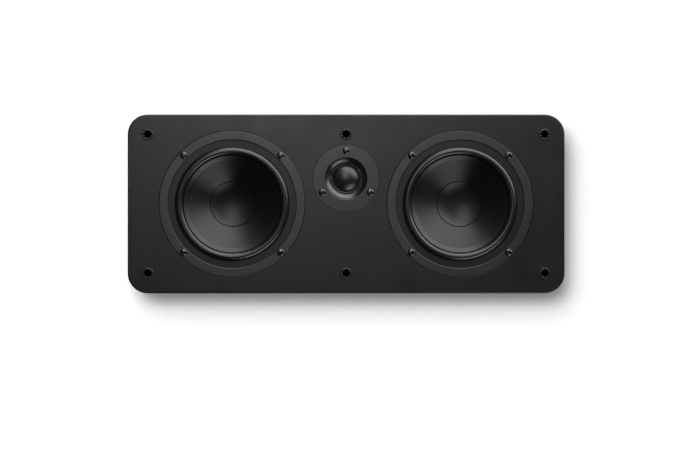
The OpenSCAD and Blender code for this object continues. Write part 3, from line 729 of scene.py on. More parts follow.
@dataclass(frozen=True)
class Finish:
    """What a piece is made of, and how its surface is worked."""

    name: str
    colour: Triple
    roughness: float
    metallic: float = 0.0
    specular: float = 0.5
    coat: float = 0.0
    coat_roughness: float = 0.12
    sheen: float = 0.0
    grain: Grain = Grain()
    rings: Rings | None = None

    def material(self) -> bpy.types.Material:
        """Makes the material, or returns it if it is there.

        Returns:
            The material.
        """
        found = bpy.data.materials.get(self.name)
        if found:
            return found
        made = bpy.data.materials.new(self.name)
        made.use_nodes = True
        made.diffuse_color = (*self.colour, 1.0)
        wiring = Wiring(made.node_tree)
        surface = {
            "Size": self.grain.size,
            "Stretch": self.grain.stretch,
            "Colour": (*self.colour, 1.0),
            "Tone change": self.grain.tone,
            "Roughness": self.roughness,
            "Roughness change": self.grain.rough,
        }
        grain = self._group(wiring, Effects.grain(), surface)
        normal = self._bump(wiring, grain["Height"], self.grain.height)
        if self.rings:
            turned = {"Axis": (self.rings.x * MM, 0.0, self.rings.z * MM), "Pitch": self.rings.pitch * MM}
            rings = self._group(wiring, Effects.turned(), turned)
            normal = self._bump(wiring, rings["Height"], self.rings.height, normal)
        shader = {
            "Metallic": self.metallic,
            "Specular IOR Level": self.specular,
            "Coat Weight": self.coat,
            "Coat Roughness": self.coat_roughness,
            "Sheen Weight": self.sheen,
            "Base Color": grain["Colour"],
            "Roughness": grain["Roughness"],
            "Normal": normal,
        }
        wiring.fill(made.node_tree.nodes["Principled BSDF"], shader)
        return made

    def turned(self, name: str, seat: Seat, pitch: float, height: float) -> "Finish":
        """Returns this finish with fine rings round a seat.

        Args:
            name: name of the new finish.
            seat: where the rings' axis stands.
            pitch: distance between two rings, in millimetres.
            height: height of a ring, in millimetres.

        Returns:
            The new finish.
        """
        return replace(self, name=name, rings=Rings(seat.x, seat.z, pitch, height))

    @staticmethod
    def _group(wiring: Wiring, tree: bpy.types.NodeTree, inputs: Inputs) -> bpy.types.bpy_prop_collection:
        """Adds a node group to the material.

        Args:
            wiring: the material's nodes.
            tree: the group.
            inputs: values of the group's inputs.

        Returns:
            The group's outputs.
        """
        node = wiring.add("ShaderNodeGroup")
        node.node_tree = tree
        return wiring.fill(node, inputs).outputs

    @staticmethod
    def _bump(
        wiring: Wiring, height: bpy.types.NodeSocket, depth: float, below: bpy.types.NodeSocket | None = None
    ) -> bpy.types.NodeSocket:
        """Adds a bump.

        Args:
            wiring: the material's nodes.
            height: what drives the bump.
            depth: its height in millimetres.
            below: the normal of the surface that it lies on.

        Returns:
            The new normal.
        """
        inputs = {"Strength": 1.0, "Distance": depth * MM, "Height": height}
        if below is not None:
            inputs["Normal"] = below
        return wiring.output("ShaderNodeBump", inputs, name="Normal")


BLACK_PAINT = Finish(
    "black paint", (0.0022, 0.0022, 0.0023), 0.32, specular=0.58, grain=Grain(1400.0, height=0.004, tone=0.05)
)
TRIM_PLASTIC = Finish(
    "trim plastic", (0.004, 0.004, 0.0041), 0.34, specular=0.85, grain=Grain(1500.0, height=0.003, tone=0.05)
)
PLATE_PLASTIC = Finish(
    "plate plastic", (0.004, 0.004, 0.0041), 0.3, specular=0.76, grain=Grain(1500.0, height=0.002, tone=0.05)
)
CONE_PAPER = Finish(
    "cone paper", (0.003, 0.003, 0.003), 0.4, specular=0.38, grain=Grain(900.0, height=0.02, tone=0.1)
)
CAP_PAPER = Finish(
    "cap paper", (0.003, 0.003, 0.003), 0.38, specular=0.4, grain=Grain(900.0, height=0.02, tone=0.1)
)
LIP_RUBBER = Finish(
    "lip rubber", (0.003, 0.003, 0.003), 0.36, specular=0.46, grain=Grain(1500.0, height=0.004, tone=0.05)
)
BACK_PAINT = Finish("back paint", (0.014, 0.014, 0.014), 0.6, grain=Grain(900.0, height=0.03, tone=0.15))
BARE_BOARD = Finish("bare board", (0.36, 0.25, 0.15), 0.8, grain=Grain(700.0, height=0.05, tone=0.2))
WADDING = Finish("wadding", (0.72, 0.71, 0.67), 0.95, sheen=0.3, grain=Grain(300.0, height=0.8, tone=0.1))
# The socket wells are a darker, duller black than the socket rims: painted shade for the hollow under each
# mouth
WELL_PAINTED_SHADE = Finish(
    "well painted shade", (0.0012, 0.0012, 0.0012), 0.9, specular=0.1, grain=Grain(1600.0, height=0.006)
)
SOCKET_PLASTIC = Finish(
    "socket plastic", (0.003, 0.003, 0.0031), 0.35, specular=1.0, grain=Grain(1600.0, height=0.006)
)
ZINC_STEEL = Finish(
    "zinc plated steel", (0.62, 0.62, 0.6), 0.32, metallic=1.0, grain=Grain(500.0, height=0.006)
)
BASKET_PAINT = Finish("basket paint", (0.02, 0.02, 0.021), 0.5, grain=Grain(1200.0, height=0.02))
ROLL_RUBBER = Finish(
    "roll rubber",
    (0.0035, 0.0035, 0.0035),
    0.3,
    specular=0.72,
    grain=Grain(1500.0, height=0.0006, tone=0.05, rough=0.02),
)
SPIDER_CLOTH = Finish("spider cloth", (0.55, 0.38, 0.12), 0.85, grain=Grain(1800.0, height=0.08, tone=0.15))
COPPER = Finish(
    "copper winding", (0.72, 0.32, 0.16), 0.35, metallic=1.0, grain=Grain(2500.0, (0.1, 6.0, 0.1), 0.02)
)
FERRITE = Finish("ferrite", (0.045, 0.045, 0.047), 0.7, grain=Grain(1500.0, height=0.02))
NICKEL = Finish("nickel", (0.66, 0.65, 0.6), 0.22, metallic=1.0, grain=Grain(700.0, height=0.004))
BLACK_SCREW = Finish(
    "black screw", (0.085, 0.085, 0.086), 0.1, metallic=1.0, grain=Grain(900.0, height=0.004)
)
DOME_SILK = Finish(
    "dome silk", (0.005, 0.005, 0.005), 0.36, specular=0.64, grain=Grain(3500.0, height=0.006, tone=0.08)
)
CUP_PLASTIC = Finish("cup plastic", (0.016, 0.016, 0.016), 0.45, grain=Grain(1400.0, height=0.015))
GOLD_PLATE = Finish("gold plate", (0.85, 0.6, 0.24), 0.2, metallic=1.0, grain=Grain(800.0, height=0.003))
RED_PLASTIC = Finish(
    "red plastic", (0.42, 0.012, 0.01), 0.3, coat=0.2, grain=Grain(900.0, height=0.004, tone=0.04)
)
BLACK_PLASTIC = Finish(
    "black plastic", (0.012, 0.012, 0.012), 0.3, coat=0.2, grain=Grain(900.0, height=0.004)
)
CIRCUIT_BOARD = Finish("circuit board", (0.16, 0.12, 0.03), 0.5, grain=Grain(900.0, height=0.01, tone=0.15))
CAPACITOR_FILM = Finish("capacitor film", (0.6, 0.5, 0.1), 0.3, coat=0.3, grain=Grain(500.0, height=0.01))
RESISTOR_CERAMIC = Finish("resistor ceramic", (0.8, 0.77, 0.68), 0.75, grain=Grain(1500.0, height=0.03))
LEAD_SLEEVE = Finish("lead sleeve", (0.3, 0.3, 0.31), 0.45, grain=Grain(900.0, height=0.005))


# Cabinet


@dataclass
class Sockets:
    """The six sockets for the grille's pegs, each with a ribbed mouth over a round hole."""

    seat: Seat
    radius: float = 5.9
    rim: tuple[Point, ...] = ((-1.0, 1.0), (-0.75, 0.93), (-0.25, 0.3), (0.0, 0.0))
    bore: float = 5.1
    play: float = 0.1
    depth: float = 11.8
    core: float = 3.45
    lobe: float = 1.1
    lobes: int = 8
    mouth_edge: float = 0.25
    mouth_depth: float = 2.6
    well: float = 3.2
    well_depth: float = 10.0
    well_floor: float = 1.5

    def places(self) -> list[Point]:
        """Finds where the sockets stand.

        Returns:
            The places on the front.
        """
        box = Box.of("grille_sockets")
        x, z = box.high[0] - self.radius, box.high[2] - self.radius
        return [(sx * x, sz * z) for sx in (-1, 0, 1) for sz in (-1, 1)]

    def hole(self, place: Point, rounding: float) -> list[Stage]:
        """Returns the wall of the board's hole for the socket at a place."""
        bore = Circle(self.bore, *place, Facets.BORE)
        return edge(bore, 0.0, rounding, True, 2) + [Stage(bore, 0.0, -self.depth)]

    def build(self) -> None:
        """Builds the sockets' mouths and, as pieces of their own, the wells under them, whose darker matte
        black is painted shade for the hollow.
        """
        rim, body = Circle(self.radius), Circle(self.bore - self.play)
        mouth, well = Scallop(self.core, self.lobe, self.lobes), Circle(self.well)
        top = self.rim[0][1]
        outside = [Stage(rim, offset, height) for offset, height in self.rim]
        outside += [Stage(body, 0.0, 0.0), Stage(body, 0.0, -self.mouth_depth)]
        inside = edge(mouth, top, self.mouth_edge, True, 3) + [Stage(mouth, 0.0, -self.mouth_depth)]
        sleeve = [Stage(body, 0.0, -self.mouth_depth), Stage(body, 0.0, -self.well_depth - self.well_floor)]
        hole = [Stage(well, 0.0, -self.mouth_depth), Stage(well, 0.0, -self.well_depth)]
        collars, wells = Shape("peg_sockets"), Shape("peg_wells")
        for x, z in self.places():
            collars.plate(self.seat.moved(x, z), [outside, inside])
            wells.plate(self.seat.moved(x, z), [sleeve], [hole])
        settle(collars.done(SOCKET_PLASTIC), "cabinet", "socket_plastic", "grille_sockets")
        # The wells' darker finish is painted shade in the sockets' hollows
        settle(wells.done(WELL_PAINTED_SHADE), "cabinet", "socket_plastic", "grille_sockets")


@dataclass
class Cabinet:
    """The box: its front board and its sides, with the channel for the cable."""

    corner: float = 20.0
    corner_steps: int = 16
    edge_radius: float = 1.4
    hole_edge: float = 0.2
    hairline: float = 0.35
    dome_hairline: float = 0.12
    cone_seat: float = 4.5
    cone_cutout: float = 60.6
    dome_seat: float = 3.5
    dome_cutout: float = 24.4
    wall: float = 12.0
    wall_edge: float = 0.8
    rebate: float = 6.0
    rebate_edge: float = 0.4
    channel_width: float = 10.0
    channel_corner: float = 0.8
    channel_depth: float = 8.0
    channel_past: float = 2.0
    channel_reach: float = 10.0
    channel_proud: float = 1.0
    board: Box = field(default_factory=lambda: Box.of("front_board"))
    sides: Box = field(default_factory=lambda: Box.of("cabinet_wrap"))
    back: Box = field(default_factory=lambda: Box.of("back_board"))

    def __post_init__(self) -> None:
        """Sets the middle of the front face, and the sockets on it."""
        self.front = Seat(0.0, 0.0, self.board.low[1])
        self.sockets = Sockets(self.front)

    def outline(self, inset: float) -> RoundRect:
        """Returns the box's outline, smaller by inset on each side."""
        width, height = self.board.high[0] - self.board.low[0], self.board.high[2] - self.board.low[2]
        return RoundRect(width - 2 * inset, height - 2 * inset, self.corner - inset, steps=self.corner_steps)

    def build(self) -> None:
        """Builds and dresses every piece of the box."""
        self._front_board()
        self._wrap()
        self.sockets.build()

    def _front_board(self) -> None:
        """Builds the front board, with its seats for the drivers and holes for the sockets."""
        thick = self.board.high[1] - self.board.low[1]
        outline = self.outline(0.0)
        walls = [edge(outline, 0.0, self.edge_radius, steps=7) + [Stage(outline, 0.0, -thick)]]
        for node, gap, cutout_radius, depth, facets in (
            ("left_trim_ring", self.hairline, self.cone_cutout, self.cone_seat, Facets.DRIVER),
            ("right_trim_ring", self.hairline, self.cone_cutout, self.cone_seat, Facets.DRIVER),
            ("tweeter_face_plate", self.dome_hairline, self.dome_cutout, self.dome_seat, Facets.DOME),
        ):
            flange = Box.of(node)
            x, _, z = flange.centre
            seat, cutout = Circle(flange.radius + gap, x, z, facets), Circle(cutout_radius, x, z, facets)
            floor = [Stage(seat, 0.0, -depth), Stage(cutout, 0.0, -depth), Stage(cutout, 0.0, -thick)]
            walls.append(edge(seat, 0.0, self.hole_edge, True, 3) + floor)
        blind = [self.sockets.hole(place, self.hole_edge) for place in self.sockets.places()]
        board = Shape("front_panel").plate(self.front, walls, blind).done(BLACK_PAINT)
        settle(board, "cabinet", "black_paint", "front_board")

    def _wrap(self) -> None:
        """Builds the sides of the box behind the front board."""
        long = self.sides.high[1] - self.sides.low[1]
        back_depth = self.back.high[1] - self.back.low[1]
        seat = Seat(0.0, 0.0, self.sides.high[1], Facing.WALL)
        outer, rebate, inner = self.outline(0.0), self.outline(self.rebate), self.outline(self.wall)
        outside = edge(outer, 0.0, self.wall_edge, steps=3) + [Stage(outer, 0.0, -long)]
        inside = edge(rebate, 0.0, self.rebate_edge, True, 2) + [
            Stage(rebate, 0.0, -back_depth),
            Stage(inner, 0.0, -back_depth),
            Stage(inner, 0.0, -long),
        ]
        sides = Shape("cabinet_sides").plate(seat, [outside, inside]).done(BLACK_PAINT)
        self.cut_channel(sides)
        settle(sides, "cabinet", "black_paint", "cabinet_wrap")

    def cut_channel(self, piece: bpy.types.Object) -> None:
        """Cuts the cable's channel out of a piece: from the terminal cup down through the lower edge.

        Args:
            piece: the piece, which isn't on its body yet.
        """
        low = self.board.low[2] - self.channel_past
        high = Box.of("terminal_cup").low[2] + self.channel_reach
        seat = Seat(0.0, (low + high) / 2, self.sides.high[1] + self.channel_proud, Facing.WALL)
        outline = RoundRect(self.channel_width, high - low, self.channel_corner, steps=4)
        walls = [[Stage(outline, 0.0, 0.0), Stage(outline, 0.0, -self.channel_proud - self.channel_depth)]]
        cutter = Shape("channel_cutter").plate(seat, walls).done(BLACK_PAINT, weighted=False)
        cut = piece.modifiers.new("channel", "BOOLEAN")
        cut.operation = "DIFFERENCE"
        cut.solver = "EXACT"
        cut.object = cutter
        bpy.context.view_layer.update()
        cut_mesh = bpy.data.meshes.new_from_object(piece.evaluated_get(bpy.context.evaluated_depsgraph_get()))
        piece.modifiers.clear()
        piece.data = cut_mesh
        piece.data.set_sharp_from_angle(angle=math.radians(SHARP_ANGLE))
        flatten(piece)
        bpy.data.objects.remove(cutter)


# Drivers


@dataclass
class PanScrews:
    """Pan head screws with a cross recess, set on a circle."""

    name: str
    seat: Seat
    circle: float
    angles: tuple[float, ...]
    height: float
    radius: float = 3.6
    rise: float = 2.2
    rim_share: float = 0.42
    crown_power: float = 2.6
    sunk: float = 0.3
    rings: int = 26
    smooth_below: float = 50.0
    arm: float = 2.1
    arm_width: float = 0.95
    arm_slope: float = 0.35
    side_slope: float = 0.14
    cross_depth: float = 1.3
    first_turn: float = 25.0
    turn_step: float = 67.0

    def build(self, body: str, node: str) -> None:
        """Builds the screws' heads.

        Args:
            body: the CAD body that the screws ride on.
            node: the CAD node that they replace.
        """
        shape = Shape(self.name, self.smooth_below)
        for number, angle in enumerate(self.angles):
            a = math.radians(angle)
            seat = self.seat.moved(self.circle * math.cos(a), self.circle * math.sin(a))
            self._head(shape, seat, math.radians(self.first_turn + self.turn_step * number))
        settle(shape.done(BLACK_SCREW, weighted=False), body, "black_screw", node)

    def _head(self, shape: Shape, seat: Seat, turned: float) -> None:
        """Adds one head, whose top sinks where the driver's cross goes in.

        Args:
            shape: the shape that gets the head.
            seat: where the screw stands.
            turned: how far its cross is turned, in radians.
        """
        rim = Circle(self.radius).points(0.0)
        lines = [[shape.mesh.verts.new(seat.place(x, y, self.height - self.sunk)) for x, y in rim]]
        for k in range(self.rings):
            ring = Circle(self.radius * (1 - k / self.rings)).points(0.0)
            tops = [(x, y, self.height + self._top(x, y, turned)) for x, y in ring]
            lines.append([shape.mesh.verts.new(seat.place(*top)) for top in tops])
        for low, high in zip(lines, lines[1:]):
            shape.band(low, high)
        shape.mesh.faces.new(lines[0])
        shape.mesh.faces.new(lines[-1])

    def _top(self, x: float, y: float, turned: float) -> float:
        """Finds the height of a head's top over its seat.

        Args:
            x: distance from the head's middle along the face.
            y: distance from the head's middle up the face.
            turned: how far its cross is turned, in radians.

        Returns:
            The height in millimetres.
        """
        share = min(1.0, math.hypot(x, y) / self.radius)
        dome = math.sqrt(max(0.0, 1 - share**self.crown_power))
        crown = self.rise * (self.rim_share + (1 - self.rim_share) * dome)
        c, s = math.cos(turned), math.sin(turned)
        along, across = abs(x * c + y * s), abs(y * c - x * s)
        long, wide = max(along, across), min(along, across)
        end = min(1.0, max(0.0, (self.arm - long) / self.arm_slope))
        side = min(1.0, max(0.0, (self.arm_width / 2 - wide) / self.side_slope))
        return crown - self.cross_depth * end * side


@dataclass
class ConeDriver:
    """One cone driver: trim ring, rubber half roll, cone, hollow dust cap, spider and screws."""

    side: str
    z_flange: float = -2.0
    trim_width: float = 8.8
    trim_top: float = 0.4
    trim_edge: float = 0.45
    trim_bore_edge: float = 0.6
    trim_pitch: float = 0.9
    play: float = 0.1
    roll_out: float = 57.5
    roll_in: float = 48.5
    roll_drop: float = 1.8
    rubber: float = 0.8
    foot_width: float = 4.6
    foot_edge: float = 0.4
    depth: float = 20.0
    neck: float = 13.15
    paper: float = 0.9
    paper_pitch: float = 1.3
    ring_height: float = 0.012
    hollow: float = 5.0
    cap_lift: float = 1.0
    cap_edge: float = 0.35
    cap_rim: tuple[Point, ...] = ((0.1, 0.05), (0.0, 0.3))
    cap_foot: float = 1.2
    cap_gap: float = 0.05
    cap_steps: int = 28
    screw_circle: float = 68.6
    screw_angles: tuple[float, ...] = (45.0, 135.0, 225.0, 315.0)
    spider_drop: float = 5.5
    spider_in: float = 13.1
    spider_neck: float = 3.0
    spider_last: float = 35.7
    spider_out: float = 41.7
    spider_cloth: float = 0.6
    spider_collar: float = 2.0
    spider_swing: float = 1.1
    spider_waves: int = 4
    wave_steps: int = 10
    spider_parts: int = 8

    def __post_init__(self) -> None:
        """Reads where the driver stands, and how large it is, from the frame."""
        ring = Box.of(f"{self.side}_trim_ring")
        self.flange = ring.radius
        self.seat = Seat(ring.centre[0], ring.centre[2], ring.low[1] + self.trim_top)
        self.rim = Box.of(f"{self.side}_cone").radius
        self.z_rim = self.z_flange - self.roll_drop
        self.cap = Box.of(f"{self.side}_dust_cap").radius
        self.roll = (self.roll_out - self.roll_in) / 2
        self.crest = self.roll_in + self.roll
        self.moving = f"{self.side}_diaphragm"

    def cone_height(self, radius: float) -> float:
        """Returns the height of the cone's front at a radius."""
        return self.z_rim - self.depth * (self.rim - radius) / (self.rim - self.neck)

    def build(self) -> None:
        """Builds and dresses the driver's pieces that show, and its spider."""
        self._trim()
        self._lip()
        self._roll_outer()
        self._roll_inner()
        self._foot()
        self._cone()
        self._dust_cap()
        self._spider()
        name = f"{self.side}_flange_screws"
        screws = PanScrews(name, self.seat, self.screw_circle, self.screw_angles, self.trim_top)
        screws.build("cabinet", f"{self.side}_screws")

    def _trim(self) -> None:
        """Builds the ring that covers the basket's flange."""
        inner = self.flange - self.trim_width
        corners = [
            (self.flange, self.z_flange),
            (self.flange, self.trim_top, self.trim_edge),
            (inner, self.trim_top, self.trim_bore_edge),
            (inner, self.z_flange),
        ]
        name = f"{self.side} trim plastic"
        finish = TRIM_PLASTIC.turned(name, self.seat, self.trim_pitch, self.ring_height)
        ring = Shape(f"{self.side}_trim").lathe(self.seat, rounded(corners, 5)).done(finish)
        settle(ring, "cabinet", "trim_plastic", f"{self.side}_trim_ring")

    def _lip(self) -> None:
        """Builds the flat lip between the trim ring and the roll."""
        inner, outer = self.roll_out - self.rubber, self.flange - self.trim_width - self.play
        top = self.z_flange + self.rubber
        profile = [(outer, self.z_flange), (outer, top), (inner, top), (inner, self.z_flange)]
        lip = Shape(f"{self.side}_roll_lip").lathe(self.seat, profile).done(LIP_RUBBER)
        settle(lip, "cabinet", "roll_rubber", f"{self.side}_surround")

    def _roll_outer(self) -> None:
        """Builds the half of the roll that stays with the cabinet."""
        profile = arc(self.crest, self.z_flange, self.roll, 0, 90, 24)
        profile += arc(self.crest, self.z_flange, self.roll - self.rubber, 90, 0, 20)
        piece = Shape(f"{self.side}_roll_outer").lathe(self.seat, profile).done(ROLL_RUBBER, weighted=False)
        settle(piece, "cabinet", "roll_rubber", f"{self.side}_surround")

    def _roll_inner(self) -> None:
        """Builds the inner half of the roll, from the crest to the cone."""
        profile = arc(self.crest, self.z_flange, self.roll, 90, 180, 24)
        profile += [(self.roll_in, self.z_rim), (self.roll_in + self.rubber, self.z_rim)]
        profile += arc(self.crest, self.z_flange, self.roll - self.rubber, 180, 90, 20)
        piece = Shape(f"{self.side}_roll_inner").lathe(self.seat, profile).done(ROLL_RUBBER, weighted=False)
        start = self.seat.place(0, 0, self.z_flange + self.roll)
        end = self.seat.place(0, 0, self.z_flange)
        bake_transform(piece)
        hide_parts(f"{self.side}_surround")
        log.info("%s bends between cabinet and %s_diaphragm", piece.name, self.side)

    def _foot(self) -> None:
        """Builds the roll's foot, which is glued to the cone's slope."""
        inner = self.roll_in - self.foot_width
        low = self.cone_height(inner)
        slope = [(self.roll_in, self.z_rim + self.rubber)]
        slope += [(inner, low + self.rubber, self.foot_edge), (inner, low)]
        profile = rounded(slope, 5) + [(self.rim, self.z_rim), (self.roll_in, self.z_rim)]
        foot = Shape(f"{self.side}_roll_foot").lathe(self.seat, profile).done(LIP_RUBBER)
        settle(foot, self.moving, "roll_rubber", f"{self.side}_surround")

    def _cone(self) -> None:
        """Builds the cone, whose rim lies under the rubber's foot."""
        run = self.rim - self.neck
        drop = self.paper * math.hypot(self.depth, run) / run
        z_neck = self.z_rim - self.depth
        profile = [(self.rim, self.z_rim - drop), (self.rim, self.z_rim), (self.neck, z_neck)]
        profile.append((self.neck, z_neck - drop))
        finish = CONE_PAPER.turned(f"{self.side} cone paper", self.seat, self.paper_pitch, self.ring_height)
        cone = Shape(f"{self.side}_cone_body").lathe(self.seat, profile).done(finish)
        settle(cone, self.moving, "cone_black", f"{self.side}_cone")

    def _dust_cap(self) -> None:
        """Builds the hollow dust cap, with its foot on the cone."""
        top = self.cone_height(self.cap) + self.cap_lift
        ball = (self.cap**2 + self.hollow**2) / (2 * self.hollow)
        middle = top - self.hollow + ball
        profile = []
        for k in range(self.cap_steps + 1):
            r = (self.cap - self.cap_edge) * k / self.cap_steps
            profile.append((r, middle - math.sqrt(ball**2 - r**2)))
        half = middle - math.sqrt(ball**2 - self.cap**2 / 4)
        profile += [(self.cap - inset, top - drop) for inset, drop in self.cap_rim]
        profile += [(r, self.cone_height(r) + self.cap_gap) for r in (self.cap, self.cap - self.cap_foot)]
        profile += [(self.cap / 2, half - self.paper), (0.0, top - self.hollow - self.paper)]
        cap = Shape(f"{self.side}_cap").lathe(self.seat, profile, close=False).done(CAP_PAPER)
        settle(cap, self.moving, "cone_black", f"{self.side}_dust_cap")

    def _spider(self) -> None:
        """Builds the waved spider in wedges, between basket and coil."""
        level = self.z_rim - self.depth - self.spider_drop
        half, first = self.spider_cloth / 2, self.spider_in + self.spider_neck
        count = self.wave_steps * self.spider_waves
        waves = []
        for k in range(count + 1):
            lift = self.spider_swing * math.sin(2 * math.pi * self.spider_waves * k / count)
            waves.append((first + (self.spider_last - first) * k / count, level + lift))
        foot, collar = level - self.spider_cloth, self.spider_in + self.spider_cloth
        profile = [(self.spider_in, level - self.spider_collar), (self.spider_in, level + half)]
        profile += [(r, z + half) for r, z in waves]
        profile += [(self.spider_out, level + half), (self.spider_out, foot), (self.spider_last, foot)]
        profile += [(r, z - half) for r, z in reversed(waves)]
        profile += [(collar, level - half), (collar, level - self.spider_collar)]
        span = 360.0 / self.spider_parts
        fixed = self.spider_last * math.cos(math.radians(span / 2))
        for part in range(self.spider_parts):
            shape = Shape(f"{self.side}_spider_part_{part + 1}")
            piece = shape.wedge(self.seat, profile, part * span, span).done(SPIDER_CLOTH)
            a = math.radians((part + 0.5) * span)
            start = self.seat.place(fixed * math.cos(a), fixed * math.sin(a), level)
            end = self.seat.place(first * math.cos(a), first * math.sin(a), level)
            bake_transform(piece)
            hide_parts(f"{self.side}_spider")
        log.info("%s_spider bends between cabinet and %s_diaphragm", self.side, self.side)


@dataclass
class DomeDriver:
    """The dome driver as it shows from the front: flared face plate, dome, the dome's roll and screws."""

    proud: float = 0.2
    bowl: float = 13.0
    slopes: tuple[float, float] = (18.0, 44.0)
    lip: float = 1.1
    plate_edge: float = 0.25
    throat: float = 15.8
    seat_depth: float = 3.5
    boss: float = 24.0
    boss_depth: float = 8.5
    clamp: float = 17.9
    z_dome: float = -5.6
    rise: float = 4.4
    silk: float = 0.3
    inside_share: float = 0.96
    skirt_wall: float = 0.5
    skirt_drop: float = 1.0
    z_silk: float = -6.9
    roll_gap: float = 0.1
    roll_play: float = 0.2
    screw_inset: float = 5.5
    screw_angles: tuple[float, ...] = (90.0, 210.0, 330.0)

    def __post_init__(self) -> None:
        """Reads where the driver stands, and how large it is, from the frame."""
        plate = Box.of("tweeter_face_plate")
        self.plate = plate.radius
        self.seat = Seat(plate.centre[0], plate.centre[2], plate.low[1] + self.proud)
        self.dome = Box.of("tweeter_dome").radius

    def build(self) -> None:
        """Builds and dresses the driver's visible pieces."""
        self._face_plate()
        self._dome()
        self._roll()
        circle = self.plate - self.screw_inset
        screws = PanScrews("dome_plate_screws", self.seat, circle, self.screw_angles, self.proud)
        screws.build("cabinet", "tweeter_screws")

    def _face_plate(self) -> None:
        """Builds the face plate, whose mouth flares out to its front."""
        floor = self.z_silk + self.silk
        low, high = self.slopes
        curve = arc(0.0, 0.0, self.bowl, low - 90, high - 90, 28)
        lip_drop = self.lip * (1 - math.cos(math.radians(high)))
        x, z = self.throat - curve[0][0], self.proud - lip_drop - curve[-1][1]
        curve = [(a + x, b + z) for a, b in curve]
        shoulder = curve[-1][0] + self.lip * math.sin(math.radians(high))
        curve += arc(shoulder, self.proud - self.lip, self.lip, 90 + high, 90, 8)[1:]
        profile = [(self.throat, floor)] + curve
        rim = [curve[-1], (self.plate, self.proud, self.plate_edge), (self.plate, -self.seat_depth)]
        profile += rounded(rim, 4)[1:]
        profile += [(self.boss, -self.seat_depth), (self.boss, -self.boss_depth)]
        profile += [(self.clamp, -self.boss_depth), (self.clamp, floor)]
        plate = Shape("dome_face_plate").lathe(self.seat, profile).done(PLATE_PLASTIC)
        settle(plate, "cabinet", "plate_plastic", "tweeter_face_plate")

    def _dome(self) -> None:
        """Builds the dome, with the skirt that goes down to its coil."""
        ball = (self.dome**2 + self.rise**2) / (2 * self.rise)
        middle = self.z_dome + self.rise - ball
        lean = math.degrees(math.asin(self.dome / ball))
        outside = arc(0.0, middle, ball, 90 - lean, 90, 28)
        inside = arc(0.0, middle, ball - self.silk, 90, 90 - lean * self.inside_share, 12)
        foot = self.z_dome - self.skirt_drop
        profile = outside[:-1] + [(0.0, middle + ball), (0.0, middle + ball - self.silk)] + inside[1:]
        profile += [(self.dome - self.skirt_wall, foot), (self.dome, foot)]
        dome = Shape("silk_dome").lathe(self.seat, profile).done(DOME_SILK)
        settle(dome, "dome_diaphragm", "dome_silk", "tweeter_dome")

    def _roll(self) -> None:
        """Builds the dome's own half roll, clamped under the face plate."""
        inner, outer = self.dome + self.roll_gap, self.throat - self.roll_play
        r = (outer - inner) / 2
        profile = arc(inner + r, self.z_silk, r, 0, 180, 20)
        profile += arc(inner + r, self.z_silk, r - self.silk, 180, 0, 16)
        roll = Shape("dome_roll").lathe(self.seat, profile).done(DOME_SILK)
        settle(roll, "cabinet", "dome_silk", "tweeter_roll")


# Back


@dataclass
class BindingPost:
    """What turns on the stud of one binding post: its collar and its grooved cap.

    A line of the cap is given by how far it is moved outwards, and by its distance from the top or the foot.
    """

    colour: str
    seat: Seat
    finish: Finish
    bore: float = 3.05
    bore_edge: float = 0.3
    end_radius: float = 5.2
    grip_radius: float = 6.0
    groove: float = 0.55
    grooves: int = 12
    top_lines: tuple[Point, ...] = ((-0.4, 0.0), (-0.1, 0.12), (0.0, 0.4), (0.0, 0.9))
    grip_top: tuple[Point, ...] = ((-0.35, 1.0), (0.0, 1.4))
    grip_foot: tuple[Point, ...] = ((0.0, 2.4), (-0.35, 2.0))
    foot_lines: tuple[Point, ...] = ((0.0, 1.9), (0.0, 0.0))
    collar_edge: float = 0.25

    def build(self) -> None:
        """Builds the cap and the collar."""
        box = Box.of(f"{self.colour}_cap")
        low, high = box.low[1], box.high[1]
        bore = Circle(self.bore, count=Facets.POST)
        ends = Circle(self.end_radius, count=Facets.POST)
        grip = Gear(self.grip_radius, self.groove, self.grooves)
        outside = [Stage(ends, out, high - away) for out, away in self.top_lines]
        outside += [Stage(grip, out, high - away) for out, away in self.grip_top]
        outside += [Stage(grip, out, low + away) for out, away in self.grip_foot]
        outside += [Stage(ends, out, low + away) for out, away in self.foot_lines]
        inside = edge(bore, high, self.bore_edge, True, 2) + [Stage(bore, 0.0, low)]
        cap = Shape(f"{self.colour}_post_cap").plate(self.seat, [outside, inside]).done(self.finish)
        settle(cap, f"{self.colour}_nut", f"{self.colour}_plastic", f"{self.colour}_cap")
        collar = Box.of(f"{self.colour}_collar")
        low, high = collar.low[1], collar.high[1]
        corners = [(self.bore, low), (collar.radius, low, self.collar_edge)]
        corners += [(collar.radius, high, self.collar_edge), (self.bore, high)]
        washer = Shape(f"{self.colour}_post_collar").lathe(self.seat, rounded(corners, 3), Facets.SOCKET)
        settle(washer.done(GOLD_PLATE), f"{self.colour}_clamp", "gold_plate", f"{self.colour}_collar")


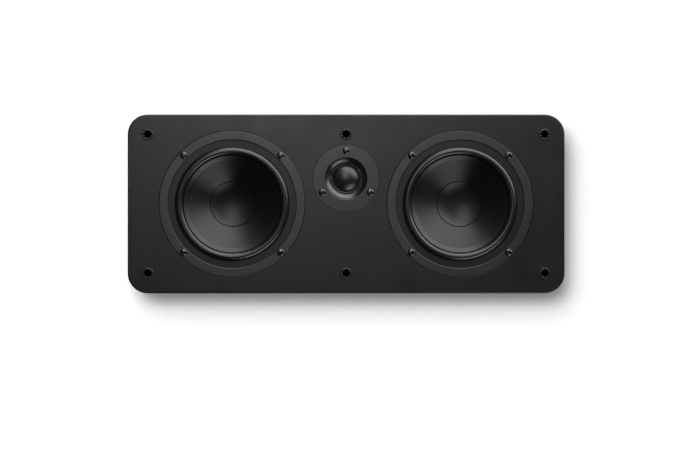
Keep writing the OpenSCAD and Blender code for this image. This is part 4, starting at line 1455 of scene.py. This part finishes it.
@dataclass
class Back:
    """The back board, the terminal cup with its posts, and the keyhole plates."""

    corner: float = 20.0
    corner_steps: int = 16
    lip: float = 6.1
    board_edge: float = 0.5
    play: float = 0.2
    rebate_edge: float = 0.3
    cup_corner: float = 4.0
    cup_lip: float = 7.0
    cup_wall: float = 2.0
    cup_edge: float = 0.5
    room_edge: float = 0.8
    room_foot: tuple[Point, ...] = ((0.0, 0.8), (-0.25, 0.25), (-0.8, 0.0))
    flange: float = 2.0
    cup_depth: float = 24.0
    post_pitch: float = 19.0
    keyhole: float = 4.75
    keyhole_edge: float = 0.25
    slot: float = 2.4
    slot_rise: float = 9.0
    plate_width: float = 20.0
    plate_height: float = 46.0
    plate_corner: float = 4.0
    plate_thick: float = 1.5
    plate_edge: float = 0.3
    plate_steps: int = 8
    screw_drop: float = 18.0
    screw_head: float = 3.1
    screw_hole: float = 1.6
    seat_edge: float = 0.2
    pocket_width: float = 12.5
    pocket_height: float = 23.5
    pocket_corner: float = 2.0
    pocket_rise: float = 5.5
    pocket_depth: float = 8.0

    def __post_init__(self) -> None:
        """Reads where the pieces lie from the frame."""
        self.board = Box.of("back_board")
        self.cup = Box.of("terminal_cup")
        self.plates = Box.of("keyhole_plates")
        self.seat = Seat(0.0, 0.0, self.board.high[1], Facing.WALL)
        self.cup_seat = Seat(self.cup.centre[0], self.cup.centre[2], self.board.high[1], Facing.WALL)
        self.cup_wide = self.cup.high[0] - self.cup.low[0]
        self.cup_tall = self.cup.high[2] - self.cup.low[2]

    def build(self, cabinet: Cabinet) -> None:
        """Builds and dresses the back.

        Args:
            cabinet: the box, which cuts the cable's channel.
        """
        self._board(cabinet)
        self._cup(cabinet)
        self._plates()
        for side, colour, finish in ((-1, "red", RED_PLASTIC), (1, "black", BLACK_PLASTIC)):
            BindingPost(colour, self.cup_seat.moved(side * self.post_pitch / 2, 0.0), finish).build()

    def _hangers(self) -> list[Point]:
        """Finds the two keyhole plates.

        Returns:
            The places of their middles.
        """
        x = self.plates.high[0] - self.plate_width / 2
        z = self.plates.centre[2]
        return [(-x, z), (x, z)]

    def _board(self, cabinet: Cabinet) -> None:
        """Builds the back board, with its openings for the cup and for the screws behind the keyholes.

        Args:
            cabinet: the box, which cuts the cable's channel.
        """
        thick = self.board.high[1] - self.board.low[1]
        width, height = self.board.high[0] - self.board.low[0], self.board.high[2] - self.board.low[2]
        outline = RoundRect(width, height, self.corner - self.lip, steps=self.corner_steps)
        walls = [edge(outline, 0.0, self.board_edge, steps=3) + [Stage(outline, 0.0, -thick)]]
        at = {"x": self.cup.centre[0], "y": self.cup.centre[2]}
        rebate = RoundRect(self.cup_wide + self.play, self.cup_tall + self.play, self.cup_corner, **at)
        lips = 2 * self.cup_lip
        wide, tall = self.cup_wide - lips + self.play, self.cup_tall - lips + self.play
        opening = RoundRect(wide, tall, self.cup_corner - 1, **at)
        walls.append(
            [
                Stage(rebate, self.rebate_edge, 0.0),
                Stage(rebate, 0.0, -self.rebate_edge),
                Stage(rebate, 0.0, -self.flange),
                Stage(opening, 0.0, -self.flange),
                Stage(opening, 0.0, -thick),
            ]
        )
        blind = [self._pocket(x, z) for x, z in self._hangers()]
        board = Shape("back_panel").plate(self.seat, walls, blind).done(BACK_PAINT)
        cabinet.cut_channel(board)
        settle(board, "cabinet", "back_paint", "back_board")

    def _pocket(self, x: float, z: float) -> list[Stage]:
        """Draws the seat of one keyhole plate, and the pocket behind it for the head of a screw.

        Args:
            x: the plate's middle along the face.
            z: the plate's middle up the face.

        Returns:
            The stages down to the pocket's floor.
        """
        wide, tall = self.plate_width + self.play, self.plate_height + self.play
        plate = RoundRect(wide, tall, self.plate_corner, x, z, self.plate_steps)
        up = z + self.pocket_rise
        pocket = RoundRect(self.pocket_width, self.pocket_height, self.pocket_corner, x, up, self.plate_steps)
        return [
            Stage(plate, self.seat_edge, 0.0),
            Stage(plate, 0.0, -self.seat_edge),
            Stage(plate, 0.0, -self.plate_thick),
            Stage(pocket, 0.0, -self.plate_thick),
            Stage(pocket, 0.0, -self.pocket_depth),
        ]

    def _cup(self, cabinet: Cabinet) -> None:
        """Builds the moulded cup that the posts stand in.

        Args:
            cabinet: the box, which cuts the cable's channel.
        """
        flange, body, room = (
            RoundRect(self.cup_wide - 2 * inset, self.cup_tall - 2 * inset, self.cup_corner - less)
            for less, inset in enumerate((0.0, self.cup_lip, self.cup_lip + self.cup_wall))
        )
        outside = edge(flange, 0.0, self.cup_edge, steps=3) + [
            Stage(flange, 0.0, -self.flange),
            Stage(body, 0.0, -self.flange),
            Stage(body, 0.0, -self.cup_depth - self.cup_wall),
        ]
        inside = edge(room, 0.0, self.room_edge, True, 4)
        inside += [Stage(room, out, up - self.cup_depth) for out, up in self.room_foot]
        cup = Shape("connector_cup").plate(self.cup_seat, [outside], [inside]).done(CUP_PLASTIC)
        cabinet.cut_channel(cup)
        settle(cup, "cabinet", "cup_plastic", "terminal_cup")

    def _plates(self) -> None:
        """Builds the two steel plates with their keyholes."""
        outline = RoundRect(self.plate_width, self.plate_height, self.plate_corner, steps=self.plate_steps)
        hole = Keyhole(self.keyhole, self.slot, self.slot_rise)
        walls = [
            edge(outline, 0.0, self.plate_edge, steps=2) + [Stage(outline, 0.0, -self.plate_thick)],
            edge(hole, 0.0, self.keyhole_edge, True, 2) + [Stage(hole, 0.0, -self.plate_thick)],
        ]
        for drop in (-self.screw_drop, self.screw_drop):
            head = Circle(self.screw_head, 0.0, drop, Facets.SCREW_HOLE)
            foot = Circle(self.screw_hole, 0.0, drop, Facets.SCREW_HOLE)
            walls.append([Stage(head, 0.0, 0.0), Stage(foot, 0.0, -self.plate_thick)])
        shape = Shape("hanger_plates")
        for x, z in self._hangers():
            shape.plate(self.seat.moved(x, z), walls)
        settle(shape.done(ZINC_STEEL), "cabinet", "zinc_steel", "keyhole_plates")


@dataclass(frozen=True)
class Inside:
    """The nodes that are kept as they are, with the finish and the slot of each."""

    finishes: tuple[tuple[tuple[str, ...], Finish, str], ...] = (
        (("brace_left", "brace_right"), BARE_BOARD, "bare_board"),
        (("wadding",), WADDING, "wadding"),
        (("keyhole_screws",), ZINC_STEEL, "zinc_steel"),
        (("left_basket", "right_basket", "tweeter_rear_cup"), BASKET_PAINT, "basket_paint"),
        (("left_voice_coil", "right_voice_coil", "tweeter_coil"), COPPER, "coil_copper"),
        (("crossover_inductors",), COPPER, "coil_copper"),
        (("left_magnet", "right_magnet"), FERRITE, "magnet_ferrite"),
        (("left_top_plate", "right_top_plate", "left_yoke", "right_yoke"), ZINC_STEEL, "zinc_steel"),
        (("tweeter_top_plate", "tweeter_yoke"), ZINC_STEEL, "zinc_steel"),
        (("tweeter_magnet",), NICKEL, "magnet_nickel"),
        (("left_terminals", "right_terminals", "tweeter_terminals"), GOLD_PLATE, "gold_plate"),
        (("red_post", "black_post"), GOLD_PLATE, "gold_plate"),
        (("post_nuts",), NICKEL, "zinc_steel"),
        (("cup_screws",), BLACK_SCREW, "black_screw"),
        (("crossover_board",), CIRCUIT_BOARD, "circuit_board"),
        (("crossover_capacitors",), CAPACITOR_FILM, "capacitor_film"),
        (("crossover_resistors",), RESISTOR_CERAMIC, "resistor_ceramic"),
        (("left_leads", "right_leads", "tweeter_leads"), LEAD_SLEEVE, "lead_sleeve"),
    )

    def dress(self) -> None:
        """Gives each kept node its material."""
        for names, finish, slot in self.finishes:
            for name in names:
                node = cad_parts[name]
                node.data.materials.clear()
                node.data.materials.append(finish.material())
                log.info("%s keeps its shape, in %s", name, finish.name)


# Studio


@dataclass(frozen=True)
class Softbox:
    """A rectangular lamp that looks at the middle of the front. Its sizes and distance are in metres.

    Azimuth is counted in degrees from the right-hand side towards the top, as seen from the camera. Tilt is
    the angle between the lamp and the line to the camera. The width runs round the azimuth, and the height
    along the tilt.
    """

    name: str
    azimuth: float
    tilt: float
    distance: float
    width: float
    height: float
    radiance: float

    def build(self, target: Triple, receivers: bpy.types.Collection) -> None:
        """Adds the lamp.

        Args:
            target: the point that it looks at, in metres.
            receivers: what it lights, or leaves unlit.
        """
        a, t = math.radians(self.azimuth), math.radians(self.tilt)
        out = Vector((math.sin(t) * math.cos(a), -math.cos(t), math.sin(t) * math.sin(a)))
        across = Vector((-math.sin(a), 0.0, math.cos(a)))
        data = bpy.data.lights.new(self.name, "AREA")
        data.shape = "RECTANGLE"
        data.size, data.size_y = self.width, self.height
        data.energy = self.radiance * POWER_SHARE * self.width * self.height
        lamp = bpy.data.objects.new(self.name, data)
        bpy.context.scene.collection.objects.link(lamp)
        turn = Matrix((across, out.cross(across), out)).transposed().to_4x4()
        lamp.matrix_world = Matrix.Translation(Vector(target) + self.distance * out) @ turn
        lamp.visible_camera = False
        lamp.light_linking.receiver_collection = receivers


@dataclass(frozen=True)
class Studio:
    """A white wall behind the speaker, a pale floor far below, soft lamps, and the photograph's camera.

    Its distances are in metres, apart from the width of the camera's sensor.
    """

    camera_distance: float = 3.0
    sensor: float = 36.0
    clip: tuple[float, float] = (0.1, 50.0)
    aim_x: float = -0.0021
    aim_z: float = -0.02515
    floor_z: float = -0.62
    floor_colour: Triple = (0.85, 0.85, 0.84)
    floor_roughness: float = 0.9
    wall_gap: float = 0.0006
    wall_reach: float = 5.0
    wall_white: float = 0.85
    wall_glow: float = 0.09
    camera_fill: float = 1.0
    diffuse_fill: float = 0.3
    glossy_fill: float = 0.055
    glossy_behind: float = 0.2
    behind_from: float = 0.1
    behind_to: float = 0.5
    speaker_lamps: tuple[Softbox, ...] = (
        Softbox("overhead", azimuth=98.0, tilt=29.0, distance=1.9, width=0.9, height=0.9, radiance=2.1),
        Softbox("front", azimuth=108.0, tilt=9.8, distance=1.9, width=0.4, height=0.4, radiance=2.8),
        Softbox("upper right", azimuth=61.0, tilt=58.0, distance=1.5, width=2.9, height=0.85, radiance=3.5),
        Softbox("lower right", azimuth=297.0, tilt=54.0, distance=1.5, width=1.1, height=0.6, radiance=2.9),
        Softbox("behind", azimuth=90.0, tilt=150.0, distance=2.2, width=1.6, height=1.6, radiance=3.0),
    )
    wall_lamps: tuple[Softbox, ...] = (
        Softbox("wall near", azimuth=125.0, tilt=7.0, distance=3.0, width=0.51, height=0.51, radiance=40.0),
        Softbox("wall wide", azimuth=123.0, tilt=13.4, distance=3.0, width=1.2, height=1.2, radiance=10.0),
    )

    def build(self, front_y: float) -> None:
        """Builds the surroundings, the lamps and the camera.

        Args:
            front_y: the front face's place along Y, in metres.
        """
        wall = self._wall()
        self._floor()
        self._world()
        for lamps, state in ((self.speaker_lamps, "EXCLUDE"), (self.wall_lamps, "INCLUDE")):
            receivers = bpy.data.collections.new(f"wall {state.lower()}d")
            receivers.objects.link(wall)
            receivers.collection_objects[0].light_linking.link_state = state
            for lamp in lamps:
                lamp.build((0.0, front_y, 0.0), receivers)
        self._camera(front_y)

    def _sheet(self, name: str, corners: list[Triple], material: bpy.types.Material) -> bpy.types.Object:
        """Adds a flat sheet that isn't part of the object.

        Args:
            name: its name.
            corners: its corners, in metres.
            material: what it is made of.

        Returns:
            The sheet.
        """
        data = bpy.data.meshes.new(name)
        data.from_pydata(corners, [], [tuple(range(len(corners)))])
        data.materials.append(material)
        made = bpy.data.objects.new(name, data)
        bpy.context.scene.collection.objects.link(made)
        return made

    def _wall(self) -> bpy.types.Object:
        """Adds the wall, which lets a camera behind it see through.

        Returns:
            The wall.
        """
        material = bpy.data.materials.new("studio wall")
        material.use_nodes = True
        wiring = Wiring(material.node_tree)
        wiring.tree.nodes.clear()
        white = (self.wall_white, self.wall_white, self.wall_white, 1.0)
        paint = wiring.output("ShaderNodeBsdfDiffuse", {"Color": white})
        glow = wiring.output("ShaderNodeEmission", {"Strength": self.wall_glow})
        lit = wiring.output("ShaderNodeAddShader", {0: paint, 1: glow})
        clear = wiring.output("ShaderNodeBsdfTransparent")
        behind = wiring.output("ShaderNodeNewGeometry", name="Backfacing")
        mixed = wiring.output("ShaderNodeMixShader", {0: behind, 1: lit, 2: clear})
        wiring.add("ShaderNodeOutputMaterial", {"Surface": mixed})
        r, y = self.wall_reach, self.wall_gap
        wall = self._sheet("studio_wall", [(-r, y, -r), (r, y, -r), (r, y, r), (-r, y, r)], material)
        wall.visible_shadow = False
        wall.visible_diffuse = False
        wall.visible_glossy = False
        return wall

    def _floor(self) -> None:
        """Adds the pale floor, which the speaker's dark faces don't mirror."""
        material = bpy.data.materials.new("studio floor")
        material.use_nodes = True
        paint = {"Base Color": (*self.floor_colour, 1.0), "Roughness": self.floor_roughness}
        Wiring(material.node_tree).fill(material.node_tree.nodes["Principled BSDF"], paint)
        r, z = 2 * self.wall_reach, self.floor_z
        floor = self._sheet("studio_floor", [(-r, -r, z), (r, -r, z), (r, r, z), (-r, r, z)], material)
        floor.visible_glossy = False
        floor.visible_diffuse = False

    def _world(self) -> None:
        """Makes the surroundings white to the camera, and dim to the rest, but brighter behind in mirrors."""
        world = bpy.data.worlds.new("studio")
        bpy.context.scene.world = world
        world.use_nodes = True
        wiring = Wiring(world.node_tree)
        wiring.tree.nodes.clear()
        path = wiring.add("ShaderNodeLightPath").outputs
        way = wiring.output("ShaderNodeTexCoord", name="Generated")
        depth = wiring.output("ShaderNodeSeparateXYZ", {0: way}, name="Y")
        behind = wiring.add("ShaderNodeMapRange")
        behind.interpolation_type = "SMOOTHSTEP"
        reach = {"From Min": self.behind_from, "From Max": self.behind_to}
        level = {"To Min": self.glossy_fill, "To Max": self.glossy_behind}
        wiring.fill(behind, {"Value": depth, **reach, **level})
        mirrored = {"Factor": path["Is Glossy Ray"], "A": self.diffuse_fill, "B": behind.outputs["Result"]}
        unseen = wiring.output("ShaderNodeMix", mirrored, name="Result")
        seen = {"Factor": path["Is Camera Ray"], "A": unseen, "B": self.camera_fill}
        strength = wiring.output("ShaderNodeMix", seen, name="Result")
        sky = wiring.output("ShaderNodeBackground", {"Strength": strength})
        wiring.add("ShaderNodeOutputWorld", {"Surface": sky})

    def _camera(self, front_y: float) -> None:
        """Adds the camera, which sees a millimetre of the front face in each pixel of the photograph.

        Args:
            front_y: the front face's place along Y, in metres.
        """
        data = bpy.data.cameras.new("camera")
        data.sensor_width = self.sensor
        data.lens = self.sensor * self.camera_distance / (PHOTO_WIDTH * MM)
        data.clip_start, data.clip_end = self.clip
        camera = bpy.data.objects.new("camera", data)
        bpy.context.scene.collection.objects.link(camera)
        camera.location = (self.aim_x, front_y - self.camera_distance, self.aim_z)
        camera.rotation_euler = (math.pi / 2, 0.0, 0.0)
        bpy.context.scene.camera = camera


def main() -> None:
    """Builds every piece of the speaker round the frame, then the studio."""
    logging.basicConfig(level=logging.INFO, format="%(name)s: %(message)s")
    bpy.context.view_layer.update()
    cabinet = Cabinet()
    cabinet.build()
    for side in ("left", "right"):
        ConeDriver(side).build()
    DomeDriver().build()
    Back().build(cabinet)
    Inside().dress()
    Studio().build(cabinet.board.low[1] * MM)
    bpy.context.scene.view_settings.view_transform = "Standard"


if __name__ == "__main__":
    main()
